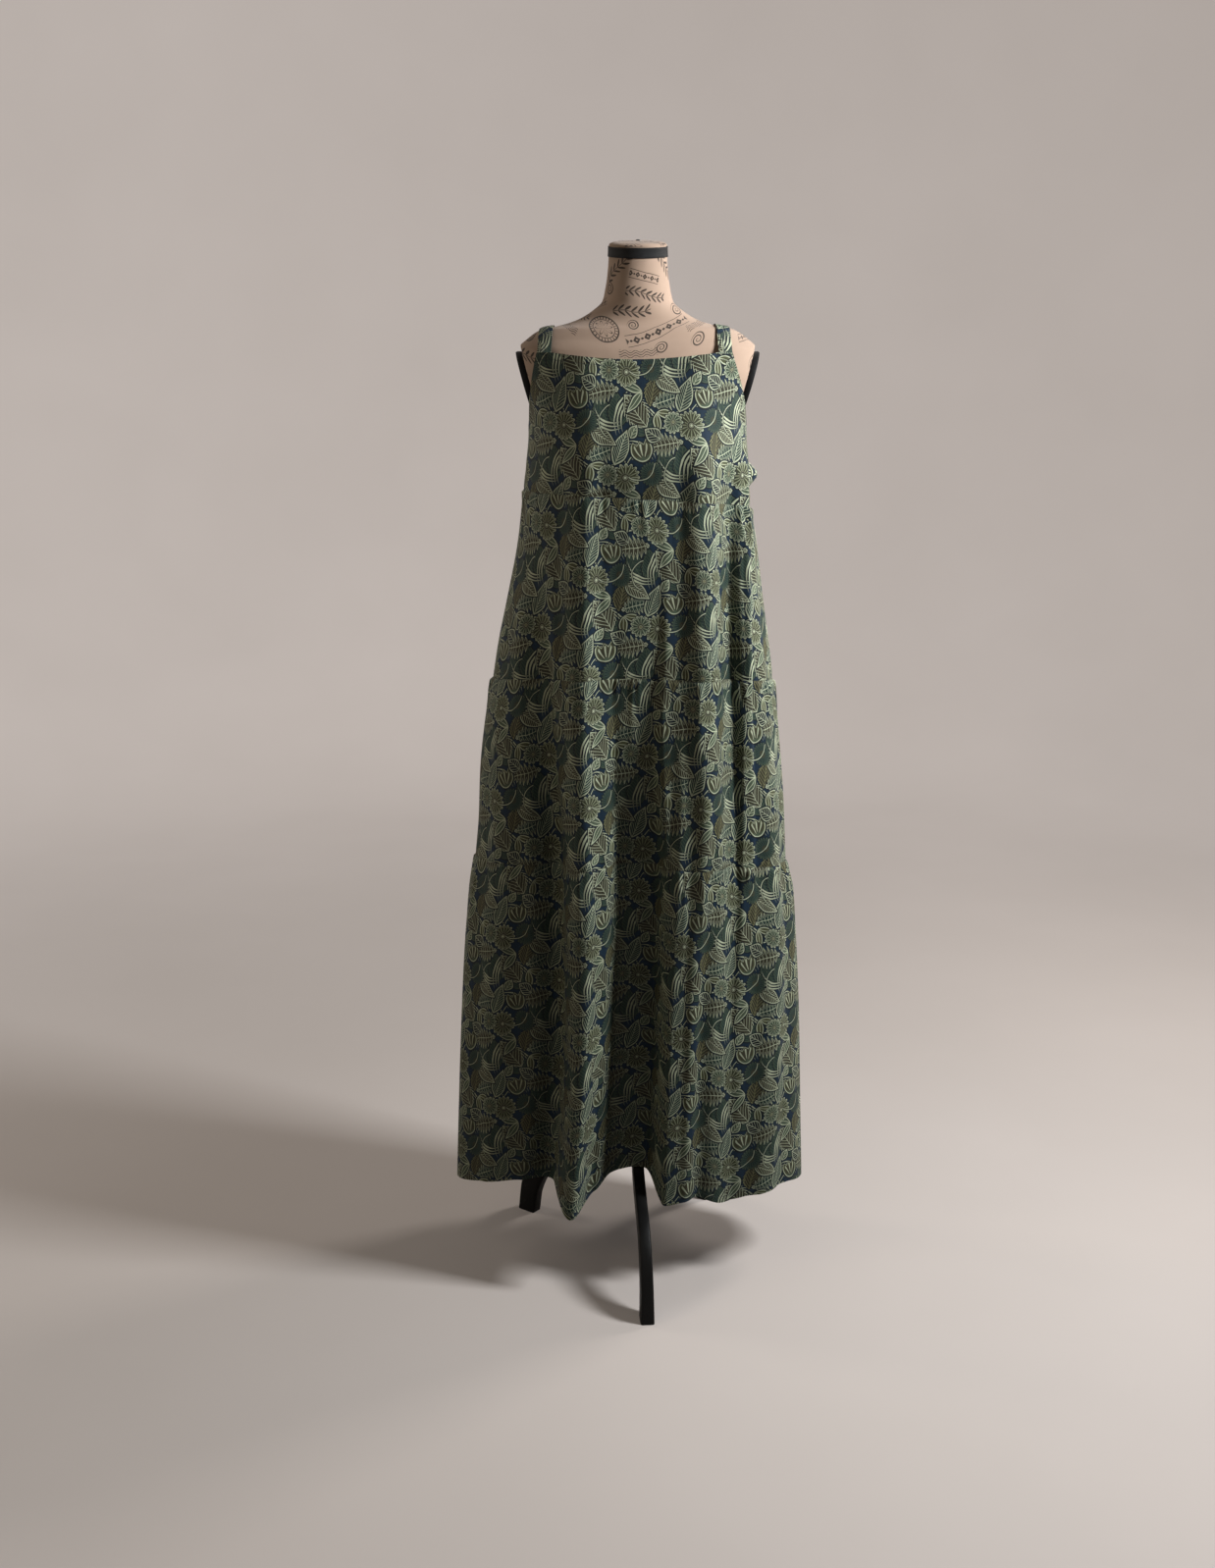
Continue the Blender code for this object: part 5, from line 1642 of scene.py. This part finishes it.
def make_stage(material):
    """A round pale floor that rises into a wall all round. It throws no light or shadow itself."""
    profile = [(STAGE_INNER, 0.0), (STAGE_FLAT, 0.0)]
    for step in np.linspace(0, math.pi / 2, STAGE_CURVE_STEPS + 1)[1:]:
        out = STAGE_FLAT + STAGE_CURVE * math.sin(step)
        profile.append((out, STAGE_CURVE * (1 - math.cos(step))))
    profile.append((STAGE_FLAT + STAGE_CURVE, STAGE_TOP))
    turn = full_turn(STAGE_SIDES)
    points = [
        (r * math.cos(t), r * math.sin(t), z - STAGE_SINK) for r, z in profile for t in turn
    ]
    faces = tube_faces(len(profile), STAGE_SIDES)[:, ::-1].tolist()
    faces.append(list(range(STAGE_SIDES)))
    mesh = bpy.data.meshes.new("studio_floor")
    mesh.from_pydata(points, [], faces)
    mesh.materials.append(material)
    mesh.shade_smooth()
    floor = bpy.data.objects.new("studio_floor", mesh)
    floor.visible_diffuse = False
    floor.visible_shadow = False
    bpy.context.scene.collection.objects.link(floor)


def area_light(name, place, aim, energy, size, colour):
    """A rectangular lamp aimed at a point."""
    data = bpy.data.lights.new(name, "AREA")
    data.shape = "RECTANGLE"
    data.size, data.size_y = size
    data.energy = energy
    data.color = colour
    light = bpy.data.objects.new(name, data)
    light.location = place
    light.visible_camera = False
    light.rotation_euler = (Vector(aim) - Vector(place)).to_track_quat("-Z", "Y").to_euler()
    bpy.context.scene.collection.objects.link(light)


def make_lights():
    """The lamps, and a faint even light from all round."""
    for name, row in LIGHTS.items():
        area_light(name, **dict(zip(LIGHT_COLUMNS, row, strict=True)))
    world = bpy.data.worlds.new("studio")
    world.use_nodes = True
    background = world.node_tree.nodes["Background"]
    background.inputs["Color"].default_value = WORLD_COLOUR
    background.inputs["Strength"].default_value = WORLD_STRENGTH
    bpy.context.scene.world = world
    bpy.context.scene.view_settings.view_transform = "Standard"


def make_camera():
    """The camera at the photograph's angle and distance."""
    data = bpy.data.cameras.new("camera")
    data.sensor_fit = "VERTICAL"
    data.sensor_height = SENSOR_HEIGHT
    data.lens = CAMERA_LENS
    camera = bpy.data.objects.new("camera", data)
    camera.location = Vector(CAMERA_PLACE) + Vector(AXIS)
    camera.rotation_euler = (math.radians(90 - CAMERA_DOWN_DEGREES), 0, 0)
    bpy.context.scene.collection.objects.link(camera)
    bpy.context.scene.camera = camera


def main():
    """Makes the materials, the pieces, the stage, the lights and the camera."""
    dress_cloth = cloth_material()
    form_cover = cover_material()
    black_tape = tape_material()
    black_paint = paint_material()
    for panel in (0, 1):
        bodice_piece(panel, dress_cloth)
        for tier in (1, 2, 3):
            tier_piece(tier, panel, dress_cloth)
    strap_piece("strap_left", -1, dress_cloth)
    strap_piece("strap_right", 1, dress_cloth)
    form_piece(form_cover)
    neck_band_piece(black_tape)
    neck_cap_piece(form_cover, black_paint)
    arm_plate_piece("arm_plate_left", -1, black_tape)
    arm_plate_piece("arm_plate_right", 1, black_tape)
    for name, turn in LEG_TURNS.items():
        leg_piece(name, turn, black_paint)
    for node in ("pole", "hub"):
        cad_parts[node].material_slots[0].material = black_paint
    make_stage(floor_material())
    make_lights()
    make_camera()


main()
